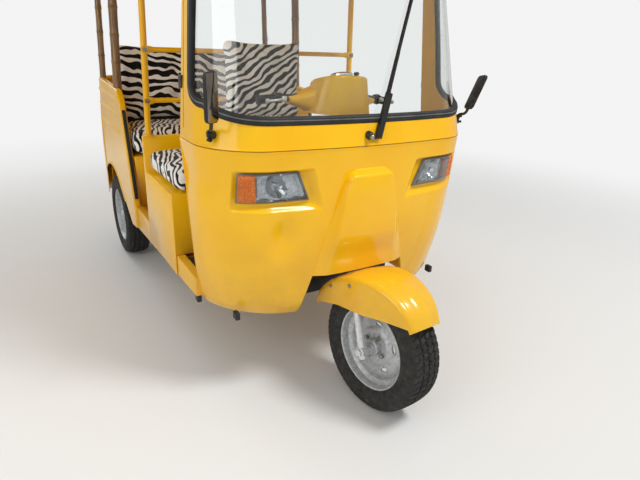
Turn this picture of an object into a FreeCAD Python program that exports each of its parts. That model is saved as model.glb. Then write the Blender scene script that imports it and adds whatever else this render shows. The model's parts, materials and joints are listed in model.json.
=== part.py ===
# Three-wheeled auto rickshaw with an open cab, bamboo roof posts and zebra cushions, in millimetres.
# While it is modelled, Y is 0 at the front axle and grows towards the rear, +X is the vehicle's
# left and Z is 0 on the ground. The finished pieces are moved so that the origin is under the middle.
import FreeCAD, Part
import math
import os

V = FreeCAD.Vector

# Wheels
TYRE_R = 254.0
TYRE_HALF_W = 71.0
TREAD_HALF_W = 56.0
SHOULDER_R = 236.0         # where the tyre's flat side ends
RIM_FLANGE_R = 169.0
RIM_SEAT_R = 155.0
RIM_HALF_W = 60.0
RIM_WALL = 5.0
DISC_T = 6.0
DISC_DISH = 14.0           # how far the disc's middle stands out of its edge
DISC_HOLES = 5
DISC_HOLE_R = 14.0
DISC_HOLE_PITCH_R = 97.0
HUB_R = 38.0
HUB_OUT = 50.0
HUB_NOSE_R = 26.0
WHEEL_BOLTS = 4
WHEEL_BOLT_PCD_R = 50.0
WHEEL_BOLT_R = 7.0
WHEELBASE = 2030.0
HUB_BORE_R = 12.0
SHAFT_CLEARANCE = 0.05

# Steering: the column leans back, and the wheel's axle sits ahead of it
RAKE = 18.5
AXIS_TRAIL = 80.0          # how far the steering axis passes behind the axle, at axle height
STEER_REST = 7.0           # the fork stands turned this many degrees to the vehicle's left
LEG_X = 93.5
LEG_R = 17.0
CROWN_UP = 266.0           # along the legs, from the axle to the fork's crown
CROWN_T = 18.0
TONGUE_HALF = 28.0
COLUMN_R = 16.0
HEAD_TUBE_R = 27.0
HEAD_LOW = 375.0           # along the axis
HEAD_HIGH = 560.0
BAR_UP = 960.0
BAR_HALF = 325.0
BAR_R = 12.0
BAR_BEND = V(150, 18, 0)    # where the bar turns back, from its middle
BAR_END = V(BAR_HALF, 60, -22)
GRIP_R = 17.0
GRIP_L = 100.0
COWL_ROOM = 38.0           # from the bar's middle up to the seat of the cowl's boss
COWL_WALL = 4.0
COWL_LOW = 60.0            # the bowl's rim, below the bar's middle
COWL_HALF_LOW = 122.0
COWL_HALF_TOP = 96.0
COWL_AHEAD = 86.0
COWL_BEHIND = 84.0
COWL_TOP_FRONT = 88.0      # the sloping top's height above the bar's middle, in front and behind
COWL_TOP_BACK = 46.0
COWL_CORNER = 58.0
COWL_ARM_X = 224.0         # how far the cowl's arms reach along the bar
CLAMP_BACK = 60.0
DIAL_R = 40.0
DIAL_H = 38.0
DIAL_AHEAD = 20.0

# Front fender over the wheel
FENDER_CROWN = 8.0          # how far the crown's middle stands above its creases
FENDER_ROLL = (18.0, 22.0)  # the bevel between the crease and the skirt: across and down
FENDER_T = 3.5
FENDER_CENTRE_Y = -20.0
FENDER_CENTRE_Z = 262.0
# Angle above level behind the wheel, half width and radius of the creases
FENDER_SECTIONS = (
    (8, 113, 312), (24, 115, 326), (40, 117, 316), (58, 117, 303), (80, 117, 297),
    (100, 114, 296), (115, 105, 292), (127, 92, 282), (138, 78, 268),
)

# Body
BODY_HALF = 588.0
REAR_TRACK_HALF = BODY_HALF - 80.0
BELT_Z = 1020.0
SHELL_WALL = 22.0
FLOOR_TOP = 460.0
FLOOR_T = 18.0
SILL_TOP = 480.0
SILL_W = 34.0
FRAME_WALL = 32.0
FRAME_TOP_Z = 1760.0
SHELL_LOW = 378.0
NOTCH_TOP = 540.0
NOTCH_HALF_TOP = 212.0
NOTCH_HALF_LOW = 262.0
APRON_T = 16.0
APRON_LOW = 535.0
COLUMN_ROOM = 8.0          # between the column and the apron's back
DASH_UNDER_BAR = 181.5     # from the bar's middle down to the shelf
SEAT_BOX_Y0 = 690.0
SEAT_BOX_Y1 = 1140.0
SEAT_BOX_Z = 750.0
PANEL = 24.0
BULKHEAD_Z = SEAT_BOX_Z + 170.0
BENCH_Z = 740.0
REAR_SIDE_Y0 = WHEELBASE - 575.0
REAR_Y = WHEELBASE + 370.0
REAR_TOP_Y = REAR_Y - 110.0
REAR_CORNER_R = 140.0
REAR_TOP_Z = 1110.0
REAR_TOP_FRONT_Z = REAR_TOP_Z - 38.0
PANEL_TOP_Y0 = REAR_SIDE_Y0 + 210.0
REAR_WALL = 30.0
SPLIT_Y = REAR_Y - 165.0   # where the side panels end and the rear panel begins
LID_HALF = 380.0
LID_TOP = 660.0
LID_LOW = 372.0
LID_GAP = 6.0
HINGE_X = 250.0
HINGE_Y = REAR_Y + 9.0
HINGE_Z = LID_TOP + 3.0
HINGE_R = 7.0
HINGE_PIN_R = 3.5
PLATE_Z = 850.0
PLATE_HOLE_R = 3.5
POLE_R = 14.0
POLE_X = BODY_HALF - 28.0
POLE_Y = SEAT_BOX_Y1 - 18.0
MIRROR_HALF_W = 32.0
MIRROR_HALF_H = 76.0
ROOF_RAIL_Z = 1780.0
BAMBOO_R = 23.0
BAMBOO_REAR_R = 18.0
BAMBOO_NODES = 4
BAMBOO_FRONT = (BODY_HALF - 26.0, WHEELBASE - 285.0)   # x and y of the foot, on the side panel's top edge
BAMBOO_REAR = (BODY_HALF - 28.0, WHEELBASE + 160.0)
BOW_R = 11.0
ROOF_RAIL_R = 12.0
ROOF_HALF = 660.0
POLE_TOP_X = ROOF_HALF - 125.0
ROOF_Y0 = 130.0
ROOF_Y1 = REAR_Y + 20.0
ROOF_T = 20.0
ROOF_RISE = 62.0
ROOF_EDGE_Z = 1800.0
ROOF_DROP = 45.0
RAIL_OUT = 318.0           # the chassis members' outer faces
RAIL_W = 46.0
RAIL_LOW = 330.0
FRONT_REACH = 261.2        # how far the vehicle reaches ahead of the front axle
ORIGIN_Y = (ROOF_Y1 - FRONT_REACH) / 2
SEAT_GAP = 0.3             # a cushion's clearance from what it rests on

# Plan sections of the front shell: height, front y, half width, corner radius, rear y
SHELL_SECTIONS = (
    (SHELL_LOW, 170.0, BODY_HALF - 30.0, 350.0, 445.0),
    (415.0, 158.0, BODY_HALF - 20.0, 335.0, 445.0),
    (500.0, 155.0, BODY_HALF - 12.0, 300.0, 442.0),
    (620.0, 151.0, BODY_HALF - 6.0, 262.0, 444.0),
    (800.0, 145.0, BODY_HALF - 1.0, 243.0, 464.0),
    (BELT_Z, 135.0, BODY_HALF, 235.0, 515.0),
)
# The same for the windscreen frame, from the belt to the header
FRAME_TOP_HALF = BODY_HALF - 63.0
FRAME_SECTIONS = (
    (BELT_Z, 135.0, BODY_HALF, 235.0, 515.0),
    (FRAME_TOP_Z, 305.0, FRAME_TOP_HALF, 200.0, 545.0),
)
SIDE_MIN = 10.0            # the least straight length at the cab's rear edge
FRONT_BOW = 22.0           # how far the front's middle stands ahead of its corners


def axis_dir():
    """The steering axis's direction, upwards."""
    return V(0, math.sin(math.radians(RAKE)), math.cos(math.radians(RAKE)))


def tread_drop():
    """How far the turned and leaning front wheel's lowest point lies below an upright one's."""
    rake = math.radians(RAKE)
    turn = math.radians(STEER_REST)
    lean = math.asin(math.sin(rake) * math.sin(turn))
    centre = AXIS_TRAIL * math.sin(rake) * math.cos(rake) * (1 - math.cos(turn))
    return TREAD_HALF_W * math.sin(lean) + TYRE_R * math.cos(lean) - TYRE_R + centre


FRONT_AXLE_Z = TYRE_R + max(0.0, tread_drop())


def axis_point(up):
    """A point on the steering axis, a distance up it from axle height."""
    return V(0, AXIS_TRAIL, FRONT_AXLE_Z) + axis_dir() * up


def box(x0, x1, y0, y1, z0, z1):
    return Part.makeBox(x1 - x0, y1 - y0, z1 - z0, V(x0, y0, z0))


def prism_x(points, x0, x1):
    """A (y, z) outline extruded across the vehicle."""
    wire = Part.makePolygon([V(x0, y, z) for y, z in points] + [V(x0, points[0][0], points[0][1])])
    return Part.Face(wire).extrude(V(x1 - x0, 0, 0))


def prism_y(points, y0, y1):
    """An (x, z) outline extruded along the vehicle."""
    wire = Part.makePolygon([V(x, y0, z) for x, z in points] + [V(points[0][0], y0, points[0][1])])
    return Part.Face(wire).extrude(V(0, y1 - y0, 0))


def rod(a, b, r):
    return Part.makeCylinder(r, (b - a).Length, a, b - a)


def pipe(points, r):
    """Round bar along straight runs, with a ball at each bend."""
    shape = rod(points[0], points[1], r)
    for a, b in zip(points[1:], points[2:]):
        shape = shape.fuse([rod(a, b, r), Part.makeSphere(r, a)])
    return shape


def mirrored(shape):
    return shape.mirror(V(0, 0, 0), V(1, 0, 0))


def pair(shape):
    """A piece and its twin on the other side, as two solids of one node."""
    return Part.makeCompound([shape, mirrored(shape)])


def solid_of(shape):
    """The shape's solids, refined, as one shape."""
    clean = shape.removeSplitter()
    return clean.Solids[0] if len(clean.Solids) == 1 else Part.makeCompound(clean.Solids)


def turned_x(profile, angle=360.0):
    """An (x, r) outline turned about the X axis."""
    wire = Part.makePolygon([V(x, 0, r) for x, r in profile] + [V(profile[0][0], 0, profile[0][1])])
    return Part.Face(wire).revolve(V(0, 0, 0), V(1, 0, 0), angle)


def plan_wire(z, front, half, corner, rear, out=0.0, past=0.0):
    """One plan section of the cab: bowed front, two corner arcs cut off at the rear, straight sides."""
    f = front - out
    h = half + out
    r = corner + out
    xs = h - r
    fy = f + FRONT_BOW
    back = rear + past
    end_y = min(fy + r, rear - SIDE_MIN)
    turn = math.acos((fy + r - end_y) / r)
    end_x = xs + r * math.sin(turn)
    mid_x = xs + r * math.sin(turn / 2)
    mid_y = fy + r - r * math.cos(turn / 2)
    p = [V(-xs, fy, z), V(0, f, z), V(xs, fy, z), V(mid_x, mid_y, z), V(end_x, end_y, z),
         V(end_x, back, z), V(-end_x, back, z), V(-end_x, end_y, z), V(-mid_x, mid_y, z)]
    edges = [
        Part.Arc(p[0], p[1], p[2]).toShape(),
        Part.Arc(p[2], p[3], p[4]).toShape(),
        Part.LineSegment(p[4], p[5]).toShape(),
        Part.LineSegment(p[5], p[6]).toShape(),
        Part.LineSegment(p[6], p[7]).toShape(),
        Part.Arc(p[7], p[8], p[0]).toShape(),
    ]
    return Part.Wire(edges)


def cab_solid(sections, out=0.0, past=0.0):
    """The cab's closed form, grown by out, its rear moved back by past."""
    return Part.makeLoft([plan_wire(*row, out=out, past=past) for row in sections], True, True)


def window_prism(inset):
    """What the windscreen's opening takes out of the frame, seen from the side."""
    low_front = 1106.0 + inset
    low_side = 1150.0 + inset
    side = 432.0 - inset
    side_top = 470.0 - inset
    top = 1700.0 - inset
    corner = 60.0
    far = -200.0
    pts = [V(-900, far, low_front - 10), V(-900, 140.0, low_front), V(-900, 330.0, low_side)]
    bend = V(-900, side - 12, low_side + 16)
    end = V(-900, side, low_side + corner)
    edges = [
        Part.LineSegment(pts[0], pts[1]).toShape(),
        Part.LineSegment(pts[1], pts[2]).toShape(),
        Part.Arc(pts[2], bend, end).toShape(),
        Part.LineSegment(end, V(-900, side_top, top - corner)).toShape(),
        Part.LineSegment(V(-900, side_top, top - corner), V(-900, side_top - corner, top)).toShape(),
        Part.LineSegment(V(-900, side_top - corner, top), V(-900, far, top)).toShape(),
        Part.LineSegment(V(-900, far, top), pts[0]).toShape(),
    ]
    return Part.Face(Part.Wire(edges)).extrude(V(1800, 0, 0))


# Headlamp opening in the shell: middle x, y, z, half width, half height
LAMP = (BODY_HALF - 226.0, 195.0, 878.0, 138.0, 66.0)
LAMP_TURN = 15.0


def lamp_block(grow, depth0, depth1):
    """A block square to the shell at the right headlamp, grown all round."""
    x, y, z, hw, hh = LAMP
    b = box(-hw - grow, hw + grow, depth0, depth1, -hh - grow, hh + grow)
    b.rotate(V(0, 0, 0), V(0, 0, 1), -LAMP_TURN)
    b.translate(V(-x, y, z))
    return b


def front_shell():
    outer = cab_solid(SHELL_SECTIONS)
    inner = cab_solid(SHELL_SECTIONS, -SHELL_WALL, 200.0)
    shell = outer.cut(inner)
    notch = prism_y([(-NOTCH_HALF_LOW, 300), (NOTCH_HALF_LOW, 300), (NOTCH_HALF_LOW, SHELL_LOW),
                     (NOTCH_HALF_TOP, NOTCH_TOP), (-NOTCH_HALF_TOP, NOTCH_TOP),
                     (-NOTCH_HALF_LOW, SHELL_LOW)], 0, 340)
    slot = box(-62, 62, 100, 300, NOTCH_TOP - 1, 790)
    shell = shell.cut([notch, slot, lamp_block(0, -120, 60), mirrored(lamp_block(0, -120, 60))])
    return solid_of(shell)


def apron():
    """The raised middle panel, between its wide foot and its rounded top."""
    half = [(217, APRON_LOW), (106, 905), (96, 927), (60, 941)]
    face = prism_y(half + [(-x, z) for x, z in reversed(half)], 60, 300)
    outer = cab_solid(SHELL_SECTIONS, APRON_T)
    inner = cab_solid(SHELL_SECTIONS, SEAT_GAP, 200.0)
    column = rod(axis_point(200), axis_point(420), COLUMN_R + COLUMN_ROOM)
    return solid_of(outer.cut(inner).common(face).cut(column))


def windscreen_frame():
    outer = cab_solid(FRAME_SECTIONS)
    inner = cab_solid(FRAME_SECTIONS, -FRAME_WALL, 200.0)
    shape = outer.cut(inner).cut(window_prism(0.0))
    return solid_of(shape)


def windscreen_seal():
    band = cab_solid(FRAME_SECTIONS, 5.0).cut(cab_solid(FRAME_SECTIONS, -FRAME_WALL - 5.0, 200.0))
    return solid_of(band.common(window_prism(0.2).cut(window_prism(20.0))))


def windscreen_glass():
    sheet = cab_solid(FRAME_SECTIONS, -10.0).cut(cab_solid(FRAME_SECTIONS, -16.0, 200.0))
    return solid_of(sheet.common(window_prism(20.2)))


def headlamp():
    """The right lamp: a shallow closed housing that fills the shell's opening."""
    body = lamp_block(-SEAT_GAP, -12, 55)
    outer = cab_solid(SHELL_SECTIONS, -10.0)
    inner = cab_solid(SHELL_SECTIONS, -75.0, 200.0)
    return solid_of(body.common(outer.cut(inner)))


def floor_pan():
    """Floor, sills along both sides and the sloped cover over the front wheel."""
    t = FLOOR_T
    inner = BODY_HALF - 30.0
    floor = box(-inner, inner, 340, WHEELBASE - 340, FLOOR_TOP - t, FLOOR_TOP)
    front = box(-inner + 120, -NOTCH_HALF_LOW - 20, 235, 341, FLOOR_TOP - t, FLOOR_TOP)
    cover = [(340, FLOOR_TOP - t), (340, FLOOR_TOP), (215, 585), (195, 585), (195, 570)]
    slope = prism_x(cover, -NOTCH_HALF_LOW - 20, NOTCH_HALF_LOW + 20)
    cheek = prism_x([(345, FLOOR_TOP - t), (345, FLOOR_TOP), (215, 585), (195, 585), (195, FLOOR_TOP - t)],
                    -NOTCH_HALF_LOW - 20, -NOTCH_HALF_LOW - 4)
    head_gap = box(-58, 58, 100, 262, 400, 700)
    sill_end = REAR_SIDE_Y0 - SEAT_GAP
    sill = prism_x([(410, 402), (sill_end, 356), (sill_end, SILL_TOP), (425, SILL_TOP)],
                   -BODY_HALF + 8, -BODY_HALF + 8 + SILL_W)
    shape = floor.fuse([front, mirrored(front), slope, cheek, mirrored(cheek), sill, mirrored(sill)])
    inner_face = cab_solid(SHELL_SECTIONS, -SHELL_WALL - SEAT_GAP, 200.0)
    wall = cab_solid(SHELL_SECTIONS, 60.0, SEAT_GAP).cut(inner_face)
    return solid_of(shape.cut([head_gap, wall]))


def dashboard():
    """The shelf under the windscreen, hung between the shell's sides."""
    shelf = cab_solid(SHELL_SECTIONS, -SHELL_WALL - SEAT_GAP, 0.0)
    top = min(BELT_Z - 35.0, axis_point(BAR_UP).z - DASH_UNDER_BAR)
    slab = shelf.common(box(-BODY_HALF, BODY_HALF, 0, 330, top - 30, top))
    lip = shelf.common(box(-BODY_HALF, BODY_HALF, 312, 330, top - 60, top))
    column = box(-62, 62, 230, 400, top - 85, top + 15)
    lamp = lamp_block(1.0, -120, 60)
    return solid_of(slab.fuse(lip).cut([column, lamp, mirrored(lamp)]))


def driver_seat_box():
    """A hollow box across the cab, open below, with the bulkhead on its rear edge."""
    h = BODY_HALF
    outer = box(-h, h, SEAT_BOX_Y0, SEAT_BOX_Y1, 392, SEAT_BOX_Z)
    inner = box(-h + PANEL, h - PANEL, SEAT_BOX_Y0 + PANEL, SEAT_BOX_Y1 - PANEL, 300, SEAT_BOX_Z - PANEL)
    floor_gap = box(-h + 7, h - 7, SEAT_BOX_Y0 - 10, SEAT_BOX_Y1 + 10, 300, SILL_TOP + 0.3)
    shape = outer.cut([inner, floor_gap])
    bulk = box(-h, h, SEAT_BOX_Y1 - PANEL, SEAT_BOX_Y1, SEAT_BOX_Z - 2, BULKHEAD_Z)
    return solid_of(shape.fuse(bulk))


def soft_block(x0, x1, y0, y1, z0, z1, r):
    b = box(x0, x1, y0, y1, z0, z1)
    return b.makeFillet(r, b.Edges)


def driver_cushion():
    w = BODY_HALF - 28
    return soft_block(-w, w, SEAT_BOX_Y0 - 18, SEAT_BOX_Y1 - 28, SEAT_BOX_Z + SEAT_GAP, SEAT_BOX_Z + 115, 40)


def bench_cushion(half, y0, y1, low, high):
    return soft_block(-half, half, y0, y1, BENCH_Z + low + SEAT_GAP, BENCH_Z + high, 45)


def driver_back_frame():
    """Two poles with two rails between them, behind the driver."""
    foot = V(POLE_X, POLE_Y, BULKHEAD_Z + 0.6)
    top = V(POLE_TOP_X, POLE_Y, ROOF_RAIL_Z - ROOF_RAIL_R - 0.8)
    shape = rod(foot, top, POLE_R)
    shape = shape.fuse(mirrored(shape))
    for z in (BULKHEAD_Z + 160.0, BULKHEAD_Z + 380.0):
        x = POLE_X - (POLE_X - POLE_TOP_X) * (z - BULKHEAD_Z) / (ROOF_RAIL_Z - BULKHEAD_Z)
        shape = shape.fuse(rod(V(-x, POLE_Y, z), V(x, POLE_Y, z), 11.0))
    return solid_of(shape)


def rear_side_outline(x):
    """The side panel's outline in the plane x, with the wheel arch cut up into it."""
    def p(y, z):
        return V(x, y, z)
    front_low = p(REAR_SIDE_Y0, 356)
    front_up = p(REAR_SIDE_Y0, 470)
    sill = p(REAR_SIDE_Y0 + 101, 346)
    arch_in = p(WHEELBASE - 240, 500)
    arch_top = p(WHEELBASE, 590)
    arch_out = p(WHEELBASE + 255, 478)
    rear_low = p(WHEELBASE + 300, 352)
    step = p(PANEL_TOP_Y0 - 53, REAR_TOP_FRONT_Z - 52)
    edges = [
        Part.LineSegment(front_low, sill).toShape(),
        Part.LineSegment(sill, arch_in).toShape(),
        Part.Arc(arch_in, arch_top, arch_out).toShape(),
        Part.LineSegment(arch_out, rear_low).toShape(),
        Part.LineSegment(rear_low, p(REAR_Y + 20, 352)).toShape(),
        Part.LineSegment(p(REAR_Y + 20, 352), p(REAR_Y + 20, REAR_TOP_Z)).toShape(),
        Part.LineSegment(p(REAR_Y + 20, REAR_TOP_Z), p(PANEL_TOP_Y0, REAR_TOP_FRONT_Z)).toShape(),
        Part.LineSegment(p(PANEL_TOP_Y0, REAR_TOP_FRONT_Z), step).toShape(),
        Part.LineSegment(step, front_up).toShape(),
        Part.LineSegment(front_up, front_low).toShape(),
    ]
    return Part.Face(Part.Wire(edges))


def rear_plan(out):
    """The rear body's plan form, leaning in towards the top at the back."""
    def wire(z, rear):
        h = BODY_HALF + out
        r = REAR_CORNER_R + out
        y = rear + out
        k = r * math.sqrt(0.5)
        f = WHEELBASE - 730.0
        a = [V(-h, f, z), V(h, f, z), V(h, y - r, z), V(h - r + k, y - r + k, z), V(h - r, y, z),
             V(r - h, y, z), V(r - h - k, y - r + k, z), V(-h, y - r, z)]
        return Part.Wire([
            Part.LineSegment(a[0], a[1]).toShape(),
            Part.LineSegment(a[1], a[2]).toShape(),
            Part.Arc(a[2], a[3], a[4]).toShape(),
            Part.LineSegment(a[4], a[5]).toShape(),
            Part.Arc(a[5], a[6], a[7]).toShape(),
            Part.LineSegment(a[7], a[0]).toShape(),
        ])
    wires = [wire(300.0, REAR_Y), wire(700.0, REAR_Y), wire(REAR_TOP_Z + 20, REAR_TOP_Y)]
    return Part.makeLoft(wires, True, True)


def panel_top(y):
    """The height of the side panel's top edge at y."""
    along = (y - PANEL_TOP_Y0) / (REAR_Y + 20 - PANEL_TOP_Y0)
    return REAR_TOP_FRONT_Z + (REAR_TOP_Z - REAR_TOP_FRONT_Z) * along


def rear_side_panel():
    """The right side of the rear body with its arch and pressed ribs."""
    skin = rear_plan(0.0).cut(rear_plan(-REAR_WALL))
    panel = skin.common(rear_side_outline(-BODY_HALF - 100).extrude(V(300, 0, 0)))
    panel = panel.cut(box(-BODY_HALF - 100, BODY_HALF, SPLIT_Y, REAR_Y + 100, 0, REAR_TOP_Z + 200))
    y0 = WHEELBASE - 330
    y1 = WHEELBASE + 190
    for z in (REAR_TOP_Z - 280, REAR_TOP_Z - 185, REAR_TOP_Z - 100):
        rib = prism_x([(y0, z), (y1, z + 14), (y1, z + 30), (y0, z + 16)], -BODY_HALF - 4, -BODY_HALF + 10)
        panel = panel.fuse(rib)
    return solid_of(panel)


def rear_panel():
    """The wall across the back, with an opening for the engine lid."""
    skin = rear_plan(0.0).cut(rear_plan(-REAR_WALL))
    reach = BODY_HALF + 100
    side = rear_side_outline(-reach).extrude(V(2 * reach, 0, 0))
    behind = box(-reach, reach, SPLIT_Y + SEAT_GAP, REAR_Y + 100, 352, REAR_TOP_Z + 200)
    wall = skin.common(side).common(behind)
    wall = wall.cut(box(-LID_HALF, LID_HALF, REAR_Y - 100, REAR_Y + 100, 300, LID_TOP))
    for x in (-HINGE_X, HINGE_X):
        lug = rod(V(x - 60, HINGE_Y, HINGE_Z), V(x - 20.3, HINGE_Y, HINGE_Z), HINGE_R)
        arm = box(x - 60, x - 20.3, REAR_Y - 20, HINGE_Y, HINGE_Z, HINGE_Z + HINGE_R)
        pin = rod(V(x - 30, HINGE_Y, HINGE_Z), V(x + 20, HINGE_Y, HINGE_Z), HINGE_PIN_R)
        wall = wall.fuse([lug, arm, pin])
    for x in (-90.0, 90.0):
        wall = wall.cut(rod(V(x, REAR_Y - 200, PLATE_Z), V(x, REAR_Y + 100, PLATE_Z), PLATE_HOLE_R))
    return solid_of(wall)


def engine_lid():
    """The flap in the back panel, hinged along its top edge."""
    flap = rear_plan(-3.0).cut(rear_plan(-25.0))
    flap = flap.common(box(-LID_HALF + LID_GAP, LID_HALF - LID_GAP, REAR_Y - 100, REAR_Y + 100, LID_LOW,
                            LID_TOP - LID_GAP))
    for x in (-HINGE_X, HINGE_X):
        lug = rod(V(x - 20, HINGE_Y, HINGE_Z), V(x + 20, HINGE_Y, HINGE_Z), HINGE_R)
        strap = box(x - 20, x + 20, REAR_Y - 3.5, HINGE_Y - 3, HINGE_Z - 60, HINGE_Z - 6)
        strap = strap.fuse(box(x - 20, x + 20, REAR_Y + 2, HINGE_Y, HINGE_Z - 8, HINGE_Z))
        bore = rod(V(x - 21, HINGE_Y, HINGE_Z), V(x + 21, HINGE_Y, HINGE_Z), HINGE_PIN_R + SHAFT_CLEARANCE)
        flap = flap.fuse([lug, strap]).cut(bore)
    return solid_of(flap)


def rear_deck():
    """The closed deck over the engine, behind the bench, with the wheel houses' inner walls."""
    inner = rear_plan(-REAR_WALL - SEAT_GAP)
    x = REAR_TRACK_HALF - 98
    y = WHEELBASE - 75
    deck = inner.common(box(-BODY_HALF, BODY_HALF, y, REAR_Y, BENCH_Z - 20, BENCH_Z))
    cheek = inner.common(box(-x - 15, -x, y, REAR_Y - 60, 470, BENCH_Z - 19))
    cheek = cheek.fuse(box(-x - 15, -x, WHEELBASE - 330, y + 1, 470, BENCH_Z - PANEL - SEAT_GAP))
    house = inner.common(box(-BODY_HALF, -x, WHEELBASE - 330, REAR_Y - 60, 610, 625))
    return solid_of(deck.fuse([cheek, mirrored(cheek), house, mirrored(house)]))


def rear_seat_base():
    """The bench's hollow base, open below."""
    w = BODY_HALF - 33
    h = REAR_TRACK_HALF - 103
    y = REAR_SIDE_Y0 + 45
    front = box(-w, w, y, y + PANEL, FLOOR_TOP + SEAT_GAP, BENCH_Z)
    top = box(-w, w, y, WHEELBASE - 80, BENCH_Z - PANEL, BENCH_Z)
    side = box(-h, -h + 20, y, y + 200, FLOOR_TOP + SEAT_GAP, BENCH_Z)
    return solid_of(front.fuse([top, side, mirrored(side)]))


def bamboo(foot, top, r):
    """A bamboo pole with a raised ring at each node."""
    x, y, z = foot
    base = V(x, y, z)
    axis = V(top[0] - x, top[1] - y, top[2] - z)
    shape = rod(base, base + axis, r)
    for i in range(1, BAMBOO_NODES + 1):
        at = base + axis * (i / (BAMBOO_NODES + 1.0))
        unit = V(axis).normalize()
        shape = shape.fuse(Part.makeCylinder(r + 2.5, 9.0, at - unit * 4.5, unit))
    return solid_of(shape)


def roof_frame():
    """Side rails, header and cross bows under the roof."""
    rail = rod(V(POLE_TOP_X, 440, ROOF_RAIL_Z), V(POLE_TOP_X, WHEELBASE + 230, ROOF_RAIL_Z), ROOF_RAIL_R)
    x0, x1 = sorted((FRAME_TOP_HALF - 30, POLE_TOP_X))
    foot = box(x0, x1, 475, 535, FRAME_TOP_Z + SEAT_GAP, ROOF_RAIL_Z)
    shape = rail.fuse([mirrored(rail), foot, mirrored(foot)])
    z, r = roof_inner_circle()
    r = r - SEAT_GAP - BOW_R
    half = math.degrees(math.asin(POLE_TOP_X / r))
    for y in (620.0, POLE_Y, BAMBOO_FRONT[1], BAMBOO_REAR[1]):
        ring = Part.Circle(V(0, y, z + r), V(1, 0, 0), BOW_R).toShape()
        bow = Part.Face(Part.Wire([ring])).revolve(V(0, y, z), V(0, 1, 0), half)
        shape = shape.fuse([bow, mirrored(bow)])
    return solid_of(shape)


def roof_inner_circle():
    """The height of the middle of the roof's inner arc, and its radius."""
    half = ROOF_HALF - ROOF_T
    rise = ROOF_RISE - ROOF_T + 6
    r = (half * half + rise * rise) / (2 * rise)
    return ROOF_EDGE_Z - 6 + rise - r, r


def roof_arch(half, edge, rise, drop, y0, y1):
    """A solid with an arched top, straight sides and a flat foot."""
    arc = Part.Arc(V(-half, y0, edge), V(0, y0, edge + rise), V(half, y0, edge)).toShape()
    lines = [V(half, y0, edge), V(half, y0, edge - drop), V(-half, y0, edge - drop), V(-half, y0, edge)]
    parts = [arc] + [Part.LineSegment(a, b).toShape() for a, b in zip(lines, lines[1:])]
    return Part.Face(Part.Wire(parts)).extrude(V(0, y1 - y0, 0))


def roof_panel():
    """The roof's shallow arched shell with short turned-down edges."""
    t = ROOF_T
    z = ROOF_EDGE_Z
    outer = roof_arch(ROOF_HALF, z, ROOF_RISE, ROOF_DROP, ROOF_Y0, ROOF_Y1)
    inner = roof_arch(ROOF_HALF - t, z - 6, ROOF_RISE - t + 6, 60.0, ROOF_Y0 + t, ROOF_Y1 - t)
    return solid_of(outer.cut(inner))


def chassis():
    """Two long members with cross members, the head's down tube and the stubs that carry the arms."""
    rail = box(-RAIL_OUT, -RAIL_OUT + RAIL_W, 380, REAR_Y - 110, RAIL_LOW, RAIL_LOW + 70)
    shape = rail.fuse(mirrored(rail))
    for y in (400.0, 900.0, REAR_SIDE_Y0 - 35, WHEELBASE - 330, WHEELBASE + 210):
        shape = shape.fuse(box(-RAIL_OUT + 18, RAIL_OUT - 18, y - 22, y + 22, RAIL_LOW + 5, RAIL_LOW + 65))
    for y in (470.0, SEAT_BOX_Y1 - 20, WHEELBASE - 390):
        top = FLOOR_TOP - FLOOR_T - SEAT_GAP
        arm = box(RAIL_OUT - 28, BODY_HALF - 88, y - 18, y + 18, RAIL_LOW + 50, top)
        shape = shape.fuse([arm, mirrored(arm)])
    return solid_of(shape)


def steering_head():
    """The tube that carries the column, with the strut down to the chassis."""
    a = axis_point(HEAD_LOW)
    b = axis_point(HEAD_HIGH)
    d = axis_dir()
    tube = rod(a, b, HEAD_TUBE_R)
    bore = rod(a - d * 5, b + d * 5, COLUMN_R + SHAFT_CLEARANCE)
    mid = axis_point((HEAD_LOW + HEAD_HIGH) / 2.0)
    brace = box(-50, 50, mid.y, 330, mid.z - 20, mid.z + 10)
    foot_z = FLOOR_TOP + SEAT_GAP
    leg = prism_x([(300, mid.z + 10), (330, mid.z + 10), (392, foot_z), (355, foot_z)], -50, 50)
    return solid_of(tube.fuse([brace, leg]).cut(bore))


def turn_steering(shape):
    """Puts a piece of the steering at the angle at which it stands."""
    shape.rotate(axis_point(0), axis_dir(), STEER_REST)
    return shape


def at_crown(shape):
    """Puts a piece drawn flat about the origin at the fork's crown, square to the legs."""
    shape.rotate(V(0, 0, 0), V(1, 0, 0), -RAKE)
    shape.translate(V(0, 0, FRONT_AXLE_Z) + axis_dir() * CROWN_UP)
    return shape


def fender_form(inside):
    """The fender's filled form about its own centre, a distance inside its outer face."""
    wires = []
    for degrees, half, side in FENDER_SECTIONS:
        w = half - inside
        r = side - inside
        across = FENDER_ROLL[0]
        down = FENDER_ROLL[1]
        section = [(-w, 120), (-w, r - down), (-w + across, r), (0, r + FENDER_CROWN), (w - across, r),
                   (w, r - down), (w, 120)]
        turn = math.radians(degrees)
        points = [V(x, k * math.cos(turn), k * math.sin(turn)) for x, k in section]
        wires.append(Part.makePolygon(points + points[:1]))
    form = Part.makeLoft(wires, True, False)
    form.translate(V(0, FENDER_CENTRE_Y, FENDER_CENTRE_Z))
    return form


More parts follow.
